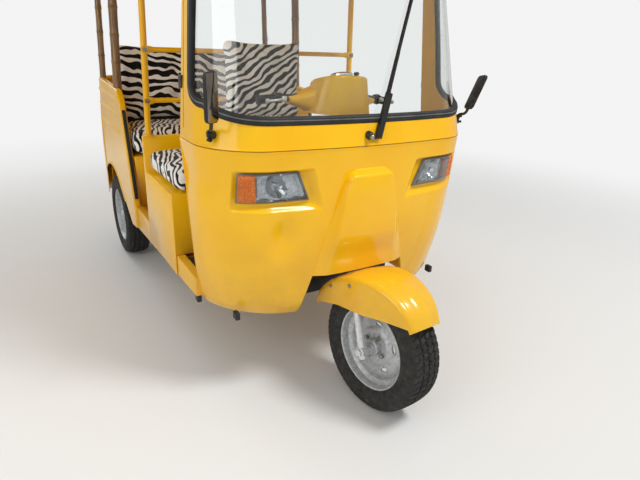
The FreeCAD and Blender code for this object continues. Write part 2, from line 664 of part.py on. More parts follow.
def fork():
    """Legs, crown, column and the front axle."""
    d = axis_dir()
    axle = V(0, 0, FRONT_AXLE_Z)
    side = V(LEG_X, 0, 0)
    leg_top = axle + side + d * CROWN_UP
    leg = rod(axle + side - d * 30, leg_top, LEG_R)
    lower = rod(axle + side - d * 46, axle + side + d * 6, LEG_R - 1.0)
    shape = leg.fuse([mirrored(leg), lower, mirrored(lower)])
    plate = box(-LEG_X - 12, LEG_X + 12, -22, 22, -CROWN_T / 2, CROWN_T / 2)
    tongue = box(-TONGUE_HALF, TONGUE_HALF, 0, AXIS_TRAIL + 20, -CROWN_T / 2, CROWN_T / 2)
    plate = at_crown(plate.fuse(tongue))
    post = at_crown(Part.makeCylinder(14.0, 80.0, V(0, -4, 0))).common(fender_form(FENDER_T + SEAT_GAP))
    reach = AXIS_TRAIL * math.sin(math.radians(RAKE))
    column = rod(axis_point(CROWN_UP - reach), axis_point(BAR_UP + 10), COLUMN_R)
    shaft = rod(axle - side, axle + side, HUB_BORE_R - SHAFT_CLEARANCE)
    return turn_steering(solid_of(shape.fuse([plate, post, column, shaft])))


def front_fender():
    """A crowned shell round the tyre's top, its skirts cut along a straight line."""
    shell = fender_form(0.0).cut(fender_form(FENDER_T))
    keep = prism_x([(-246, 186), (-60, 166), (158, 138), (340, 82), (340, 400), (-246, 400)], -200, 200)
    keep.translate(V(0, FENDER_CENTRE_Y, FENDER_CENTRE_Z))
    slot = at_crown(box(-TONGUE_HALF - 6, TONGUE_HALF + 6, 14, AXIS_TRAIL + 80, -CROWN_T, 300))
    return turn_steering(solid_of(shell.common(keep).cut(slot)))


def handlebar():
    """The bar with its two black grips."""
    c = axis_point(BAR_UP)
    bend = BAR_BEND
    end = BAR_END
    bar = pipe([c - V(bend.x, -bend.y, 0), c + bend], BAR_R)
    arm = pipe([c + bend, c + end], BAR_R)
    grip = rod(c + end - (end - bend).normalize() * GRIP_L, c + end, GRIP_R)
    shape = bar.fuse([arm, mirrored(arm), grip, mirrored(grip), Part.makeSphere(BAR_R, c + bend),
                      Part.makeSphere(BAR_R, c + V(-bend.x, bend.y, 0))])
    clamp = box(-34, 34, c.y - 26, c.y + CLAMP_BACK, c.z - 22, c.z + COWL_ROOM - SEAT_GAP)
    column = rod(axis_point(BAR_UP - 80), axis_point(BAR_UP + 10.3), COLUMN_R)
    return turn_steering(solid_of(shape.fuse(clamp).cut(column)))


def cowl_bowl(inside, low):
    """The cowl's filled bowl, a distance inside its outer face, from its rim's height upwards."""
    c = axis_point(BAR_UP)
    wires = []
    top = COWL_TOP_FRONT + 4
    for half, draft, z in ((COWL_HALF_LOW, 0, -low), (COWL_HALF_TOP, 7, top)):
        h = half - inside
        r = COWL_CORNER - draft - inside
        y0 = c.y - COWL_AHEAD + draft + inside
        y1 = c.y + COWL_BEHIND - draft - inside
        k = r * (1 - math.sqrt(0.5))
        spots = [
            (-h + r, y0), (h - r, y0), (h - k, y0 + k), (h, y0 + r), (h, y1 - r), (h - k, y1 - k),
            (h - r, y1), (-h + r, y1), (-h + k, y1 - k), (-h, y1 - r), (-h, y0 + r), (-h + k, y0 + k),
        ]
        p = [V(x, y, c.z + z) for x, y in spots]
        wires.append(Part.Wire([
            Part.LineSegment(p[0], p[1]).toShape(),
            Part.Arc(p[1], p[2], p[3]).toShape(),
            Part.LineSegment(p[3], p[4]).toShape(),
            Part.Arc(p[4], p[5], p[6]).toShape(),
            Part.LineSegment(p[6], p[7]).toShape(),
            Part.Arc(p[7], p[8], p[9]).toShape(),
            Part.LineSegment(p[9], p[10]).toShape(),
            Part.Arc(p[10], p[11], p[0]).toShape(),
        ]))
    bowl = Part.makeLoft(wires, True, True)
    front = (c.y - COWL_AHEAD, c.z + COWL_TOP_FRONT - inside)
    back = (c.y + COWL_BEHIND, c.z + COWL_TOP_BACK - inside)
    return bowl.common(prism_x([front, back, (back[0], c.z - 300), (front[0], c.z - 300)], -300, 300))


def cowl_arm():
    """The flare that covers the bar on one side, from the bowl's side to its tapered end."""
    c = axis_point(BAR_UP)
    wires = []
    # Across, front, rear, low and high about the bar's middle
    for x, y0, y1, z0, z1 in ((COWL_HALF_TOP - 20, -22, 62, -56, 30), (COWL_HALF_LOW + 22, -6, 58, -46, 22),
                              (COWL_ARM_X, 16, 62, -32, 12)):
        wires.append(Part.makePolygon([
            V(x, c.y + y0 + 8, c.z + z1),
            V(x, c.y + y1, c.z + z1 - 6),
            V(x, c.y + y1, c.z + z0),
            V(x, c.y + y0, c.z + z0),
            V(x, c.y + y0, c.z + z1 - 8),
            V(x, c.y + y0 + 8, c.z + z1),
        ]))
    return Part.makeLoft(wires, True, True)


def handlebar_cowl():
    """The painted bowl over the bar's middle, its top sloping to the rider, with a flare over each arm."""
    c = axis_point(BAR_UP)
    outer = cowl_bowl(0.0, COWL_LOW)
    inner = cowl_bowl(COWL_WALL, COWL_LOW + 40)
    arm = cowl_arm()
    shape = outer.fuse([arm, mirrored(arm)]).cut(inner)
    boss = box(-24, 24, c.y + CLAMP_BACK - 28, c.y + CLAMP_BACK - 2, c.z + COWL_ROOM, c.z + COWL_TOP_FRONT)
    shape = shape.fuse(boss.common(outer))
    near = c + BAR_BEND - V(12, 0, 0)
    sleeve = rod(near, c + BAR_END, BAR_R + COWL_WALL)
    bend = c + BAR_BEND
    middle = rod(V(-bend.x, bend.y, bend.z), bend, BAR_R + COWL_WALL)
    return turn_steering(solid_of(shape.cut([sleeve, mirrored(sleeve), middle, dial_form(SEAT_GAP)])))


def dial_form(grow):
    """The speedometer's round case, square to the cowl's top, grown all round."""
    c = axis_point(BAR_UP)
    slope = (COWL_TOP_FRONT - COWL_TOP_BACK) / (COWL_AHEAD + COWL_BEHIND)
    tilt = V(0, slope, 1).normalize()
    foot = V(0, c.y - DIAL_AHEAD, c.z + COWL_ROOM + 12)
    return Part.makeCylinder(DIAL_R + grow, DIAL_H + grow, foot - tilt * grow, tilt)


def instruments():
    return turn_steering(dial_form(0.0))


def tyre():
    """A ring that sits on the rim's two flanges, flat at the sides and bevelled at the shoulders."""
    inner = RIM_FLANGE_R + SEAT_GAP
    half = [(-TYRE_HALF_W, inner), (-TYRE_HALF_W, SHOULDER_R), (-TREAD_HALF_W, TYRE_R)]
    return turned_x(half + [(-x, r) for x, r in reversed(half)])


def ring_of(count, first_deg, pitch_r, x0, x1, r):
    """Equal cylinders along X, spaced round the wheel's axis."""
    shapes = []
    for i in range(count):
        a = math.radians(first_deg + 360.0 * i / count)
        base = V(x0, pitch_r * math.cos(a), pitch_r * math.sin(a))
        shapes.append(Part.makeCylinder(r, x1 - x0, base, V(1, 0, 0)))
    return shapes


def rim():
    """A pressed steel wheel: barrel with both flanges, dished disc with holes, bolts and hub."""
    h = RIM_HALF_W
    t = RIM_WALL
    seat = RIM_SEAT_R
    barrel = turned_x([(-h, seat - t), (-h, RIM_FLANGE_R), (-h + t, RIM_FLANGE_R), (-h + t, seat),
                       (h - t, seat), (h - t, RIM_FLANGE_R), (h, RIM_FLANGE_R), (h, seat - t)])
    edge = -4.0
    middle = edge - DISC_DISH
    front = [(edge, seat - t + 1), (edge, 122), (middle, 74), (middle, HUB_R)]
    disc = turned_x(front + [(x + DISC_T, r) for x, r in reversed(front)])
    disc = disc.cut(ring_of(DISC_HOLES, 90, DISC_HOLE_PITCH_R, -40, 20, DISC_HOLE_R))
    hub = Part.makeCylinder(HUB_R + 1, 62.0, V(middle - 2, 0, 0), V(1, 0, 0))
    nose = Part.makeCylinder(HUB_NOSE_R, HUB_OUT - 16, V(-HUB_OUT, 0, 0), V(1, 0, 0))
    bolts = ring_of(WHEEL_BOLTS, 25, WHEEL_BOLT_PCD_R, middle - 10, middle + 2, WHEEL_BOLT_R)
    shape = barrel.fuse([disc, hub, nose] + bolts)
    bore = Part.makeCylinder(HUB_BORE_R, 200, V(-100, 0, 0), V(1, 0, 0))
    return solid_of(shape.cut(bore))


def place_front(shape):
    shape.translate(V(0, 0, FRONT_AXLE_Z))
    return turn_steering(shape)


def place_rear(shape, side):
    """Side -1 is the vehicle's right, with the disc's hollow facing outwards."""
    if side > 0:
        shape = mirrored(shape)
    shape.translate(V(side * REAR_TRACK_HALF, WHEELBASE, TYRE_R))
    return shape


def rear_arm():
    """The right trailing arm with its pivot on the chassis and the stub axle for the wheel."""
    x = REAR_TRACK_HALF
    y = WHEELBASE
    z = TYRE_R
    pivot = y - 328
    arm = prism_x([(pivot, 350), (pivot, 380), (y + 30, z + 30), (y + 30, z - 30), (y - 40, z - 30)],
                  -x + 80, -x + 108)
    foot = box(-x + 78, -RAIL_OUT - SEAT_GAP, pivot - 12, pivot + 23, 345, 385)
    stub = rod(V(-x + 107, y, z), V(-x - 40, y, z), HUB_BORE_R - SHAFT_CLEARANCE)
    drum = rod(V(-x + 80, y, z), V(-x + 56, y, z), 70.0)
    return solid_of(arm.fuse([foot, stub, drum]))


def engine():
    return box(-170, 170, WHEELBASE - 70, WHEELBASE + 185, 250, 520)


def engine_mounts():
    """The beam that hangs the engine between the long members."""
    half = RAIL_OUT - RAIL_W - SEAT_GAP
    return box(-half, half, WHEELBASE - 130, WHEELBASE - 70 - SEAT_GAP, RAIL_LOW + 15, RAIL_LOW + 65)


def tail_lamp():
    """The right rear lamp cluster on the back panel."""
    block = box(-BODY_HALF + 88, -BODY_HALF + 168, REAR_Y - 80, REAR_Y + 14, 760, 900)
    return solid_of(block.cut(rear_plan(SEAT_GAP)))


def mirror(side, foot, head, turn, lean):
    """A clamp on the frame, a short stem and a tall head; side is -1 on the vehicle's right."""
    root = V(side * (foot[0] - 26), foot[1] + 17, foot[2] - 4)
    clamp = rod(root, V(side * foot[0], foot[1], foot[2]), 15.0)
    clamp = clamp.cut(cab_solid(FRAME_SECTIONS, SEAT_GAP, 200.0))
    case = box(-MIRROR_HALF_W, MIRROR_HALF_W, -9, 9, -MIRROR_HALF_H, MIRROR_HALF_H)
    case = case.makeFillet(14.0, [e for e in case.Edges if e.Length < 20])
    case.rotate(V(0, 0, 0), V(0, 0, 1), turn)
    case.rotate(V(0, 0, 0), V(0, 1, 0), lean)
    case.translate(V(side * head[0], head[1], head[2]))
    low = V(side * head[0], head[1], head[2]) - case_up(lean) * (MIRROR_HALF_H - 8)
    stem = rod(V(side * (foot[0] - 6), foot[1], foot[2]), low, 6.0)
    return solid_of(clamp.fuse([stem, case]))


def case_up(lean):
    return V(math.sin(math.radians(lean)), 0, math.cos(math.radians(lean)))


def wiper():
    """Pivot cap and the arm with its blade, parked upright in front of the glass."""
    cap = rod(V(-15, 148, 1059), V(-15, 124, 1055), 15.0)
    cap = cap.cut(cab_solid(FRAME_SECTIONS, SEAT_GAP, 200.0))
    arm = pipe([V(-15, 128, 1055), V(60, 168, 1200), V(210, 255, 1500)], 4.5)
    return solid_of(cap.fuse(arm))


def floor_mat():
    w = BODY_HALF - 88
    return box(-w, w, SEAT_BOX_Y1 + 20, REAR_SIDE_Y0 + 25, FLOOR_TOP + SEAT_GAP, FLOOR_TOP + 8)


def build():
    """Every node's shape by name."""
    posts = {}
    for end, (x, y), r in (("front", BAMBOO_FRONT, BAMBOO_R), ("rear", BAMBOO_REAR, BAMBOO_REAR_R)):
        foot = (x, y, panel_top(y + r) + SEAT_GAP)
        posts["bamboo_posts_" + end] = pair(bamboo(foot, (POLE_TOP_X, y, ROOF_RAIL_Z - ROOF_RAIL_R - 1.2), r))
    shell = front_shell()
    lamp = headlamp()
    side = rear_side_panel()
    arm = rear_arm()
    nodes = {
        "front_shell": shell,
        "apron": apron(),
        "windscreen_frame": windscreen_frame(),
        "windscreen_seal": windscreen_seal(),
        "windscreen_glass": windscreen_glass(),
        "headlamp_right": lamp,
        "headlamp_left": mirrored(lamp),
        "wiper": wiper(),
        "mirror_right": mirror(-1, (BODY_HALF - 27, 267, 1068), (BODY_HALF + 6, 186, 1192), 46.0, 0.0),
        "mirror_left": mirror(1, (BODY_HALF - 16, 294, 1076), (BODY_HALF + 18, 240, 1190), 70.0, 26.0),
        "floor_pan": floor_pan(),
        "dashboard": dashboard(),
        "driver_seat_box": driver_seat_box(),
        "driver_cushion": driver_cushion(),
        "driver_back_frame": driver_back_frame(),
        "driver_backrest": soft_block(-200, 200, POLE_Y - 92, POLE_Y - 11 - SEAT_GAP, BULKHEAD_Z + 70,
                                      BULKHEAD_Z + 430, 30),
        "rear_side_right": side,
        "rear_side_left": mirrored(side),
        "rear_panel": rear_panel(),
        "rear_deck": rear_deck(),
        "engine_lid": engine_lid(),
        "rear_seat_base": rear_seat_base(),
        "rear_cushion": bench_cushion(BODY_HALF - 38, REAR_SIDE_Y0 + 7, WHEELBASE - 130, 0, 150),
        "rear_backrest": bench_cushion(BODY_HALF - 48, WHEELBASE - 240, WHEELBASE - 100, 150, 560),
        "roof_frame": roof_frame(),
        "roof_panel": roof_panel(),
        "chassis": chassis(),
        "steering_head": steering_head(),
        "rear_arm_right": arm,
        "rear_arm_left": mirrored(arm),
        "engine": engine(),
        "engine_beam": engine_mounts(),
        "tail_lamps": pair(tail_lamp()),
        "floor_mat": floor_mat(),
        "fork": fork(),
        "front_fender": front_fender(),
        "handlebar": handlebar(),
        "handlebar_cowl": handlebar_cowl(),
        "instruments": instruments(),
        "front_tyre": place_front(tyre()),
        "front_rim": place_front(rim()),
        "rear_right_tyre": place_rear(tyre(), -1),
        "rear_right_rim": place_rear(rim(), -1),
        "rear_left_tyre": place_rear(tyre(), 1),
        "rear_left_rim": place_rear(rim(), 1),
    }
    nodes.update(posts)
    return nodes


os.makedirs("parts", exist_ok=True)
for name, shape in build().items():
    shape.translate(V(0, -ORIGIN_Y, 0))
    shape.exportStep("parts/" + name + ".step")
    bb = shape.BoundBox
    print("%-20s solids %d valid %s vol %.4f  x %.0f..%.0f y %.0f..%.0f z %.1f..%.1f" % (
        name, len(shape.Solids), shape.isValid(), shape.Volume / 1e9, bb.XMin, bb.XMax,
        bb.YMin, bb.YMax, bb.ZMin, bb.ZMax))
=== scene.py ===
# A yellow three-wheeled auto rickshaw: open cab, zebra cushions, bamboo roof posts.
# Places are given in millimetres from the ground under the front axle; +X is the vehicle's left,
# Y grows towards the rear. at() turns them into the shared frame, which is in metres.
import json
import math

import bmesh
import bpy
from mathutils import Matrix, Vector


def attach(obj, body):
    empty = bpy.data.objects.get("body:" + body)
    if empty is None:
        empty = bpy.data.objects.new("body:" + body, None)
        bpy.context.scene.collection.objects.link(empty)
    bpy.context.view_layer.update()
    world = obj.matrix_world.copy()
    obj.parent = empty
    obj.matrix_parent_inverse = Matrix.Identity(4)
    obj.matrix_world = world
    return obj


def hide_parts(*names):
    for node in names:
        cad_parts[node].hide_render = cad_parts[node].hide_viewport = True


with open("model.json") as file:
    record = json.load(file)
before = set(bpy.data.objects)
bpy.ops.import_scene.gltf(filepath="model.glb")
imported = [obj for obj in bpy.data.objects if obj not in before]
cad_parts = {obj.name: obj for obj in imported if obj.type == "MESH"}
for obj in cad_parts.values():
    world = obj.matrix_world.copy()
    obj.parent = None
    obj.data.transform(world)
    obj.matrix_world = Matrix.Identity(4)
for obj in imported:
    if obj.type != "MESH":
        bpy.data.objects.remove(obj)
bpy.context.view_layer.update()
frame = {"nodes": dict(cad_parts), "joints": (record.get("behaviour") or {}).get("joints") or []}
NODES = frame["nodes"]
JOINTS = {j["name"]: j for j in frame["joints"]}

MM = 0.001
ORIGIN_Y = 1079.4
STEER_REST = 7.0           # degrees that the fork stands turned to the vehicle's left
BODY_HALF = 588.0
SHELL_LOW = 378.0
BELT_Z = 1020.0            # the joint between the shell and the windscreen frame
FRAME_TOP_Z = 1760.0

# Plan sections of the cab: height, front y, half width, corner radius, rear y
SHELL_SECTIONS = (
    (SHELL_LOW, 170.0, 558.0, 350.0, 445.0),
    (415.0, 158.0, 568.0, 335.0, 445.0),
    (500.0, 155.0, 576.0, 300.0, 442.0),
    (620.0, 151.0, 582.0, 262.0, 444.0),
    (800.0, 145.0, 587.0, 243.0, 464.0),
    (BELT_Z, 135.0, BODY_HALF, 235.0, 515.0),
)
FRAME_SECTIONS = (
    (BELT_Z, 135.0, BODY_HALF, 235.0, 515.0),
    (FRAME_TOP_Z, 305.0, 525.0, 200.0, 545.0),
)
FRONT_BOW = 22.0
ARC_END = 0.45             # along the section: the front's arc, then the corner, then the side
CORNER_END = 0.8
SHELL_WALL = 22.0
FRAME_WALL = 32.0


def at(x, y, z):
    return Vector((x, y - ORIGIN_Y, z)) * MM


# Modelling tools


def choose(piece):
    for other in bpy.context.selected_objects:
        other.select_set(False)
    piece.select_set(True)
    bpy.context.view_layer.objects.active = piece


def modify(piece, kind, **settings):
    """Adds a modifier and applies it."""
    modifier = piece.modifiers.new(kind.title(), kind)
    for name, value in settings.items():
        setattr(modifier, name, value)
    choose(piece)
    bpy.ops.object.modifier_apply(modifier=modifier.name)


def from_faces(name, corners, faces):
    mesh = bpy.data.meshes.new(name)
    mesh.from_pydata([tuple(c) for c in corners], [], faces)
    mesh.update()
    piece = bpy.data.objects.new(name, mesh)
    bpy.context.scene.collection.objects.link(piece)
    return piece


def sheet_of(name, point, us, vs, round_u=False, round_v=False, keep=None):
    """A net of four-sided faces whose corners are point(u, v)."""
    corners = [point(u, v) for v in vs for u in us]
    n = len(us)
    m = len(vs)
    faces = []
    for j in range(m if round_v else m - 1):
        for i in range(n if round_u else n - 1):
            a = j * n + i
            b = j * n + (i + 1) % n
            c = ((j + 1) % m) * n + (i + 1) % n
            d = ((j + 1) % m) * n + i
            if keep is None or keep(us[i], vs[j]):
                faces.append((a, b, c, d))
    return from_faces(name, corners, faces)


def tidy_mesh(piece, merge=0.00002, smooth=35.0):
    """Merges doubles, turns faces outwards and smooths all but the sharp edges."""
    mesh = bmesh.new()
    mesh.from_mesh(piece.data)
    bmesh.ops.remove_doubles(mesh, verts=mesh.verts, dist=merge)
    loose = [v for v in mesh.verts if not v.link_faces]
    bmesh.ops.delete(mesh, geom=loose, context="VERTS")
    bmesh.ops.recalc_face_normals(mesh, faces=mesh.faces)
    mesh.to_mesh(piece.data)
    mesh.free()
    choose(piece)
    bpy.ops.object.shade_smooth_by_angle(angle=math.radians(smooth))


def settle(piece):
    """Puts the piece's place into its mesh."""
    choose(piece)
    bpy.ops.object.transform_apply(location=True, rotation=True, scale=True)


def block(name, low, high, bevel=0.0, segments=3):
    """A bevelled block between two corners in millimetres."""
    a = at(*low)
    b = at(*high)
    bpy.ops.mesh.primitive_cube_add(size=1.0, location=(a + b) / 2)
    piece = bpy.context.object
    piece.name = name
    piece.scale = b - a
    settle(piece)
    if bevel:
        modify(piece, "BEVEL", width=bevel * MM, segments=segments, limit_method="NONE")
    tidy_mesh(piece)
    return piece


def bar(name, start, end, radius, sides=32, bevel=0.0):
    """A round bar between two places in millimetres."""
    a = at(*start)
    b = at(*end)
    way = b - a
    bpy.ops.mesh.primitive_cylinder_add(vertices=sides, radius=radius * MM, depth=way.length,
                                        location=(a + b) / 2)
    piece = bpy.context.object
    piece.name = name
    piece.rotation_mode = "QUATERNION"
    piece.rotation_quaternion = way.to_track_quat("Z", "Y")
    settle(piece)
    if bevel:
        modify(piece, "BEVEL", width=bevel * MM, segments=2, limit_method="ANGLE",
               angle_limit=math.radians(60))
    tidy_mesh(piece)
    return piece


def tube_along(name, places, radius, sides=12, smooth_line=True):
    """A round tube along places in millimetres, through a curve made into a mesh."""
    curve = bpy.data.curves.new(name, "CURVE")
    curve.dimensions = "3D"
    curve.bevel_depth = radius * MM
    curve.bevel_resolution = sides // 4
    curve.resolution_u = 8
    curve.use_fill_caps = True
    spline = curve.splines.new("NURBS" if smooth_line else "POLY")
    spline.points.add(len(places) - 1)
    for point, place in zip(spline.points, places):
        point.co = (*at(*place), 1.0)
    if smooth_line:
        spline.order_u = 3
        spline.use_endpoint_u = True
    rope = bpy.data.objects.new(name, curve)
    bpy.context.scene.collection.objects.link(rope)
    choose(rope)
    bpy.ops.object.convert(target="MESH")
    piece = bpy.context.object
    tidy_mesh(piece)
    return piece


def close_ends(piece, rings):
    """Adds a face over each ring of corners at a strip's ends."""
    mesh = bmesh.new()
    mesh.from_mesh(piece.data)
    mesh.verts.ensure_lookup_table()
    for ring in rings:
        mesh.faces.new([mesh.verts[i] for i in ring])
    mesh.to_mesh(piece.data)
    mesh.free()


def joined(name, pieces):
    for other in bpy.context.selected_objects:
        other.select_set(False)
    for piece in pieces:
        piece.select_set(True)
    bpy.context.view_layer.objects.active = pieces[0]
    bpy.ops.object.join()
    piece = bpy.context.object
    piece.name = name
    return piece


def mirror_of(piece, name):
    """The piece's twin on the vehicle's other side."""
    twin = piece.copy()
    twin.data = piece.data.copy()
    twin.name = name
    bpy.context.scene.collection.objects.link(twin)
    twin.data.transform(Matrix.Scale(-1, 4, (1, 0, 0)))
    twin.data.flip_normals()
    return twin


def turned(name, outline, place, axis, sides=96):
    """An outline of (along, radius) pairs turned about an axis through a place, all in millimetres."""
    turn = axis.to_track_quat("X", "Z").to_matrix()
    origin = at(*place)

    def point(u, k):
        along, radius = outline[k]
        spot = Vector((along, radius * math.cos(u), radius * math.sin(u)))
        return origin + turn @ spot * MM

    us = [2 * math.pi * i / sides for i in range(sides)]
    piece = sheet_of(name, point, us, range(len(outline)), round_u=True)
    tidy_mesh(piece)
    return piece


def dress(piece, material, body="body", replaces=()):
    """Finish, body and the CAD nodes that the piece stands for."""
    piece.data.materials.clear()
    piece.data.materials.append(material)
    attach(piece, body)
    if replaces:
        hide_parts(*replaces)
    return piece


# Materials


def linear(hex_colour):
    values = []
    for i in (0, 2, 4):
        c = int(hex_colour[i:i + 2], 16) / 255.0
        values.append(c / 12.92 if c <= 0.04045 else ((c + 0.055) / 1.055) ** 2.4)
    return (*values, 1.0)


def add(tree, kind, inputs=None, **settings):
    """Adds a node, sets its values and links the sockets it is given."""
    node = tree.nodes.new(kind)
    for name, value in settings.items():
        setattr(node, name, value)
    for name, value in (inputs or {}).items():
        if isinstance(value, bpy.types.NodeSocket):
            tree.links.new(value, node.inputs[name])
        else:
            node.inputs[name].default_value = value
    return node


def ramp(tree, value, stops, mode="LINEAR"):
    """A colour ramp with (position, hex colour) stops."""
    node = add(tree, "ShaderNodeValToRGB", {"Fac": value})
    node.color_ramp.interpolation = mode
    points = node.color_ramp.elements
    while len(points) < len(stops):
        points.new(1.0)
    for point, (position, colour) in zip(points, stops):
        point.position = position
        point.color = linear(colour)
    return node.outputs["Color"]


def new_material(name, **values):
    material = bpy.data.materials.new(name)
    material.use_nodes = True
    shader = material.node_tree.nodes["Principled BSDF"]
    for key, value in values.items():
        shader.inputs[key.replace("_", " ")].default_value = value
    return material, material.node_tree, shader


def spots(tree):
    return add(tree, "ShaderNodeTexCoord").outputs["Object"]


def noise_of(tree, where, size_mm, detail=4.0, rough=0.55):
    """Noise whose lumps are about size_mm across."""
    return add(tree, "ShaderNodeTexNoise", {"Vector": where, "Scale": 1000.0 / size_mm, "Detail": detail,
                                            "Roughness": rough}).outputs["Fac"]


def bump_of(tree, shader, height, distance_mm, strength=1.0):
    bump = add(tree, "ShaderNodeBump", {"Height": height, "Distance": distance_mm * MM, "Strength": strength})
    tree.links.new(bump.outputs["Normal"], shader.inputs["Normal"])


def gloss_paint(name, deep, light, dusty, roughness=0.2):
    """Two-pack enamel on pressed sheet: slightly uneven colour, orange peel, dust low down."""
    material, tree, shader = new_material(name, Roughness=roughness, Coat_Weight=0.3, Coat_Roughness=0.1,
                                          Specular_IOR_Level=0.35)
    where = spots(tree)
    patches = ramp(tree, noise_of(tree, where, 260.0, 3.0), ((0.35, deep), (0.65, light)))
    height = add(tree, "ShaderNodeSeparateXYZ", {"Vector": where}).outputs["Z"]
    low = add(tree, "ShaderNodeMapRange", {"Value": height, "From Min": 0.75, "From Max": 0.36})
    grime = noise_of(tree, where, 34.0, 8.0, 0.7)
    film = add(tree, "ShaderNodeMath", {0: low.outputs["Result"], 1: grime}, operation="MULTIPLY")
    faint = add(tree, "ShaderNodeMath", {0: film.outputs["Value"], 1: 0.55}, operation="MULTIPLY").outputs["Value"]
    mixed = add(tree, "ShaderNodeMix", {"Factor": faint, "A": patches, "B": linear(dusty)}, data_type="RGBA")
    tree.links.new(mixed.outputs["Result"], shader.inputs["Base Color"])
    bump_of(tree, shader, noise_of(tree, where, 3.0, 1.0), 0.03, 0.5)
    return material


def moulded(name, dark, light, roughness=0.5, grain_mm=1.2):
    """Moulded black plastic with a fine leather-like grain."""
    material, tree, shader = new_material(name, Roughness=roughness)
    where = spots(tree)
    colour = ramp(tree, noise_of(tree, where, 45.0, 5.0), ((0.35, dark), (0.7, light)))
    tree.links.new(colour, shader.inputs["Base Color"])
    cells = add(tree, "ShaderNodeTexVoronoi", {"Vector": where, "Scale": 1000.0 / grain_mm})
    bump_of(tree, shader, cells.outputs["Distance"], 0.08, 0.6)
    return material


def metal(name, dark, light, roughness, grain_mm=4.0, metallic=1.0, bump_mm=0.03):
    """Bare or plated metal whose tone and shine vary a little."""
    material, tree, shader = new_material(name, Metallic=metallic, Roughness=roughness)
    where = spots(tree)
    cloud = noise_of(tree, where, grain_mm, 6.0, 0.65)
    tree.links.new(ramp(tree, cloud, ((0.35, dark), (0.68, light))), shader.inputs["Base Color"])
    spread = add(tree, "ShaderNodeMapRange", {"Value": cloud, "To Min": roughness * 0.75,
                                              "To Max": roughness * 1.35})
    tree.links.new(spread.outputs["Result"], shader.inputs["Roughness"])
    bump_of(tree, shader, cloud, bump_mm, 0.4)
    return material


def clear(name, colour, roughness=0.0, ior=1.5, through=1.0, prism_glint=None):
    """Clear glass or plastic; a faint smear of dust varies its shine, and on a tinted lens paler prism-sized cells
    are painted highlights.
    """
    material, tree, shader = new_material(name, Base_Color=linear(colour), Roughness=roughness, IOR=ior,
                                          Transmission_Weight=through)
    where = spots(tree)
    smear = noise_of(tree, where, 60.0, 5.0)
    spread = add(tree, "ShaderNodeMapRange", {"Value": smear, "From Min": 0.45, "From Max": 0.8,
                                              "To Min": roughness, "To Max": roughness + 0.05})
    tree.links.new(spread.outputs["Result"], shader.inputs["Roughness"])
    if prism_glint:
        # Painted highlight: paler cells in the lens colour stand in for light caught by the prisms.
        cells = add(tree, "ShaderNodeTexVoronoi", {"Vector": where, "Scale": 95.0, "Randomness": 0.35})
        tint = ramp(tree, cells.outputs["Distance"], ((0.1, prism_glint), (0.55, colour), (0.9, prism_glint)))
        tree.links.new(tint, shader.inputs["Base Color"])
    return material


def zebra_plush(name, direction, pitch_mm):
    """Short-pile printed plush: black stripes that swing, fork and taper on off-white."""
    material, tree, shader = new_material(name, Roughness=0.9, Sheen_Weight=0.15, Sheen_Roughness=0.5,
                                          Specular_IOR_Level=0.2)
    where = spots(tree)
    broad = add(tree, "ShaderNodeTexNoise", {"Vector": where, "Scale": 1000.0 / (3.0 * pitch_mm),
                                             "Detail": 1.5, "Roughness": 0.5}).outputs["Color"]
    push = add(tree, "ShaderNodeVectorMath", {0: broad, "Scale": 2.7 * pitch_mm * MM}, operation="SCALE")
    bent = add(tree, "ShaderNodeVectorMath", {0: where, 1: push.outputs["Vector"]}, operation="ADD")
    over = add(tree, "ShaderNodeVectorMath", {0: bent.outputs["Vector"], 1: Vector(direction).normalized()},
               operation="DOT_PRODUCT").outputs["Value"]
    turns = add(tree, "ShaderNodeMath", {0: over, 1: 2 * math.pi / (pitch_mm * MM)}, operation="MULTIPLY")
    wave = add(tree, "ShaderNodeMath", {0: turns.outputs["Value"]}, operation="SINE").outputs["Value"]
    lumps = noise_of(tree, where, pitch_mm * 1.9, 1.0)
    taper = add(tree, "ShaderNodeMath", {0: lumps, 1: 2.6, 2: -1.3}, operation="MULTIPLY_ADD")
    both = add(tree, "ShaderNodeMath", {0: wave, 1: taper.outputs["Value"]}, operation="ADD").outputs["Value"]
    printed = add(tree, "ShaderNodeMapRange", {"Value": both, "From Min": -0.12, "From Max": 0.12})
    inks = ramp(tree, printed.outputs["Result"], ((0.0, "0C0B0B"), (1.0, "F0EDE6")))
    tree.links.new(inks, shader.inputs["Base Color"])
    bump_of(tree, shader, noise_of(tree, where, 1.6, 3.0, 0.8), 0.6, 0.5)
    return material


def bamboo_skin():
    """Varnished bamboo: long streaks along the pole."""
    material, tree, shader = new_material("varnished_bamboo", Roughness=0.38, Coat_Weight=0.25,
                                          Coat_Roughness=0.2)
    where = spots(tree)
    long = add(tree, "ShaderNodeMapping", {"Vector": where, "Scale": (1.0, 1.0, 0.06)}).outputs["Vector"]
    streaks = noise_of(tree, long, 7.0, 6.0, 0.7)
    colour = ramp(tree, streaks, ((0.3, "4C3620"), (0.5, "80603A"), (0.72, "AE8850")))
    tree.links.new(colour, shader.inputs["Base Color"])
    bump_of(tree, shader, streaks, 0.25, 0.5)
    return material


def tyre_rubber():
    """Black tyre rubber greyed by road dust."""
    material, tree, shader = new_material("tyre_rubber", Roughness=0.85, Specular_IOR_Level=0.3)
    where = spots(tree)
    dust = noise_of(tree, where, 28.0, 8.0, 0.7)
    colour = ramp(tree, dust, ((0.35, "242423"), (0.6, "3A3937"), (0.8, "5C5850")))
    tree.links.new(colour, shader.inputs["Base Color"])
    bump_of(tree, shader, noise_of(tree, where, 1.5, 3.0), 0.2, 0.5)
    return material


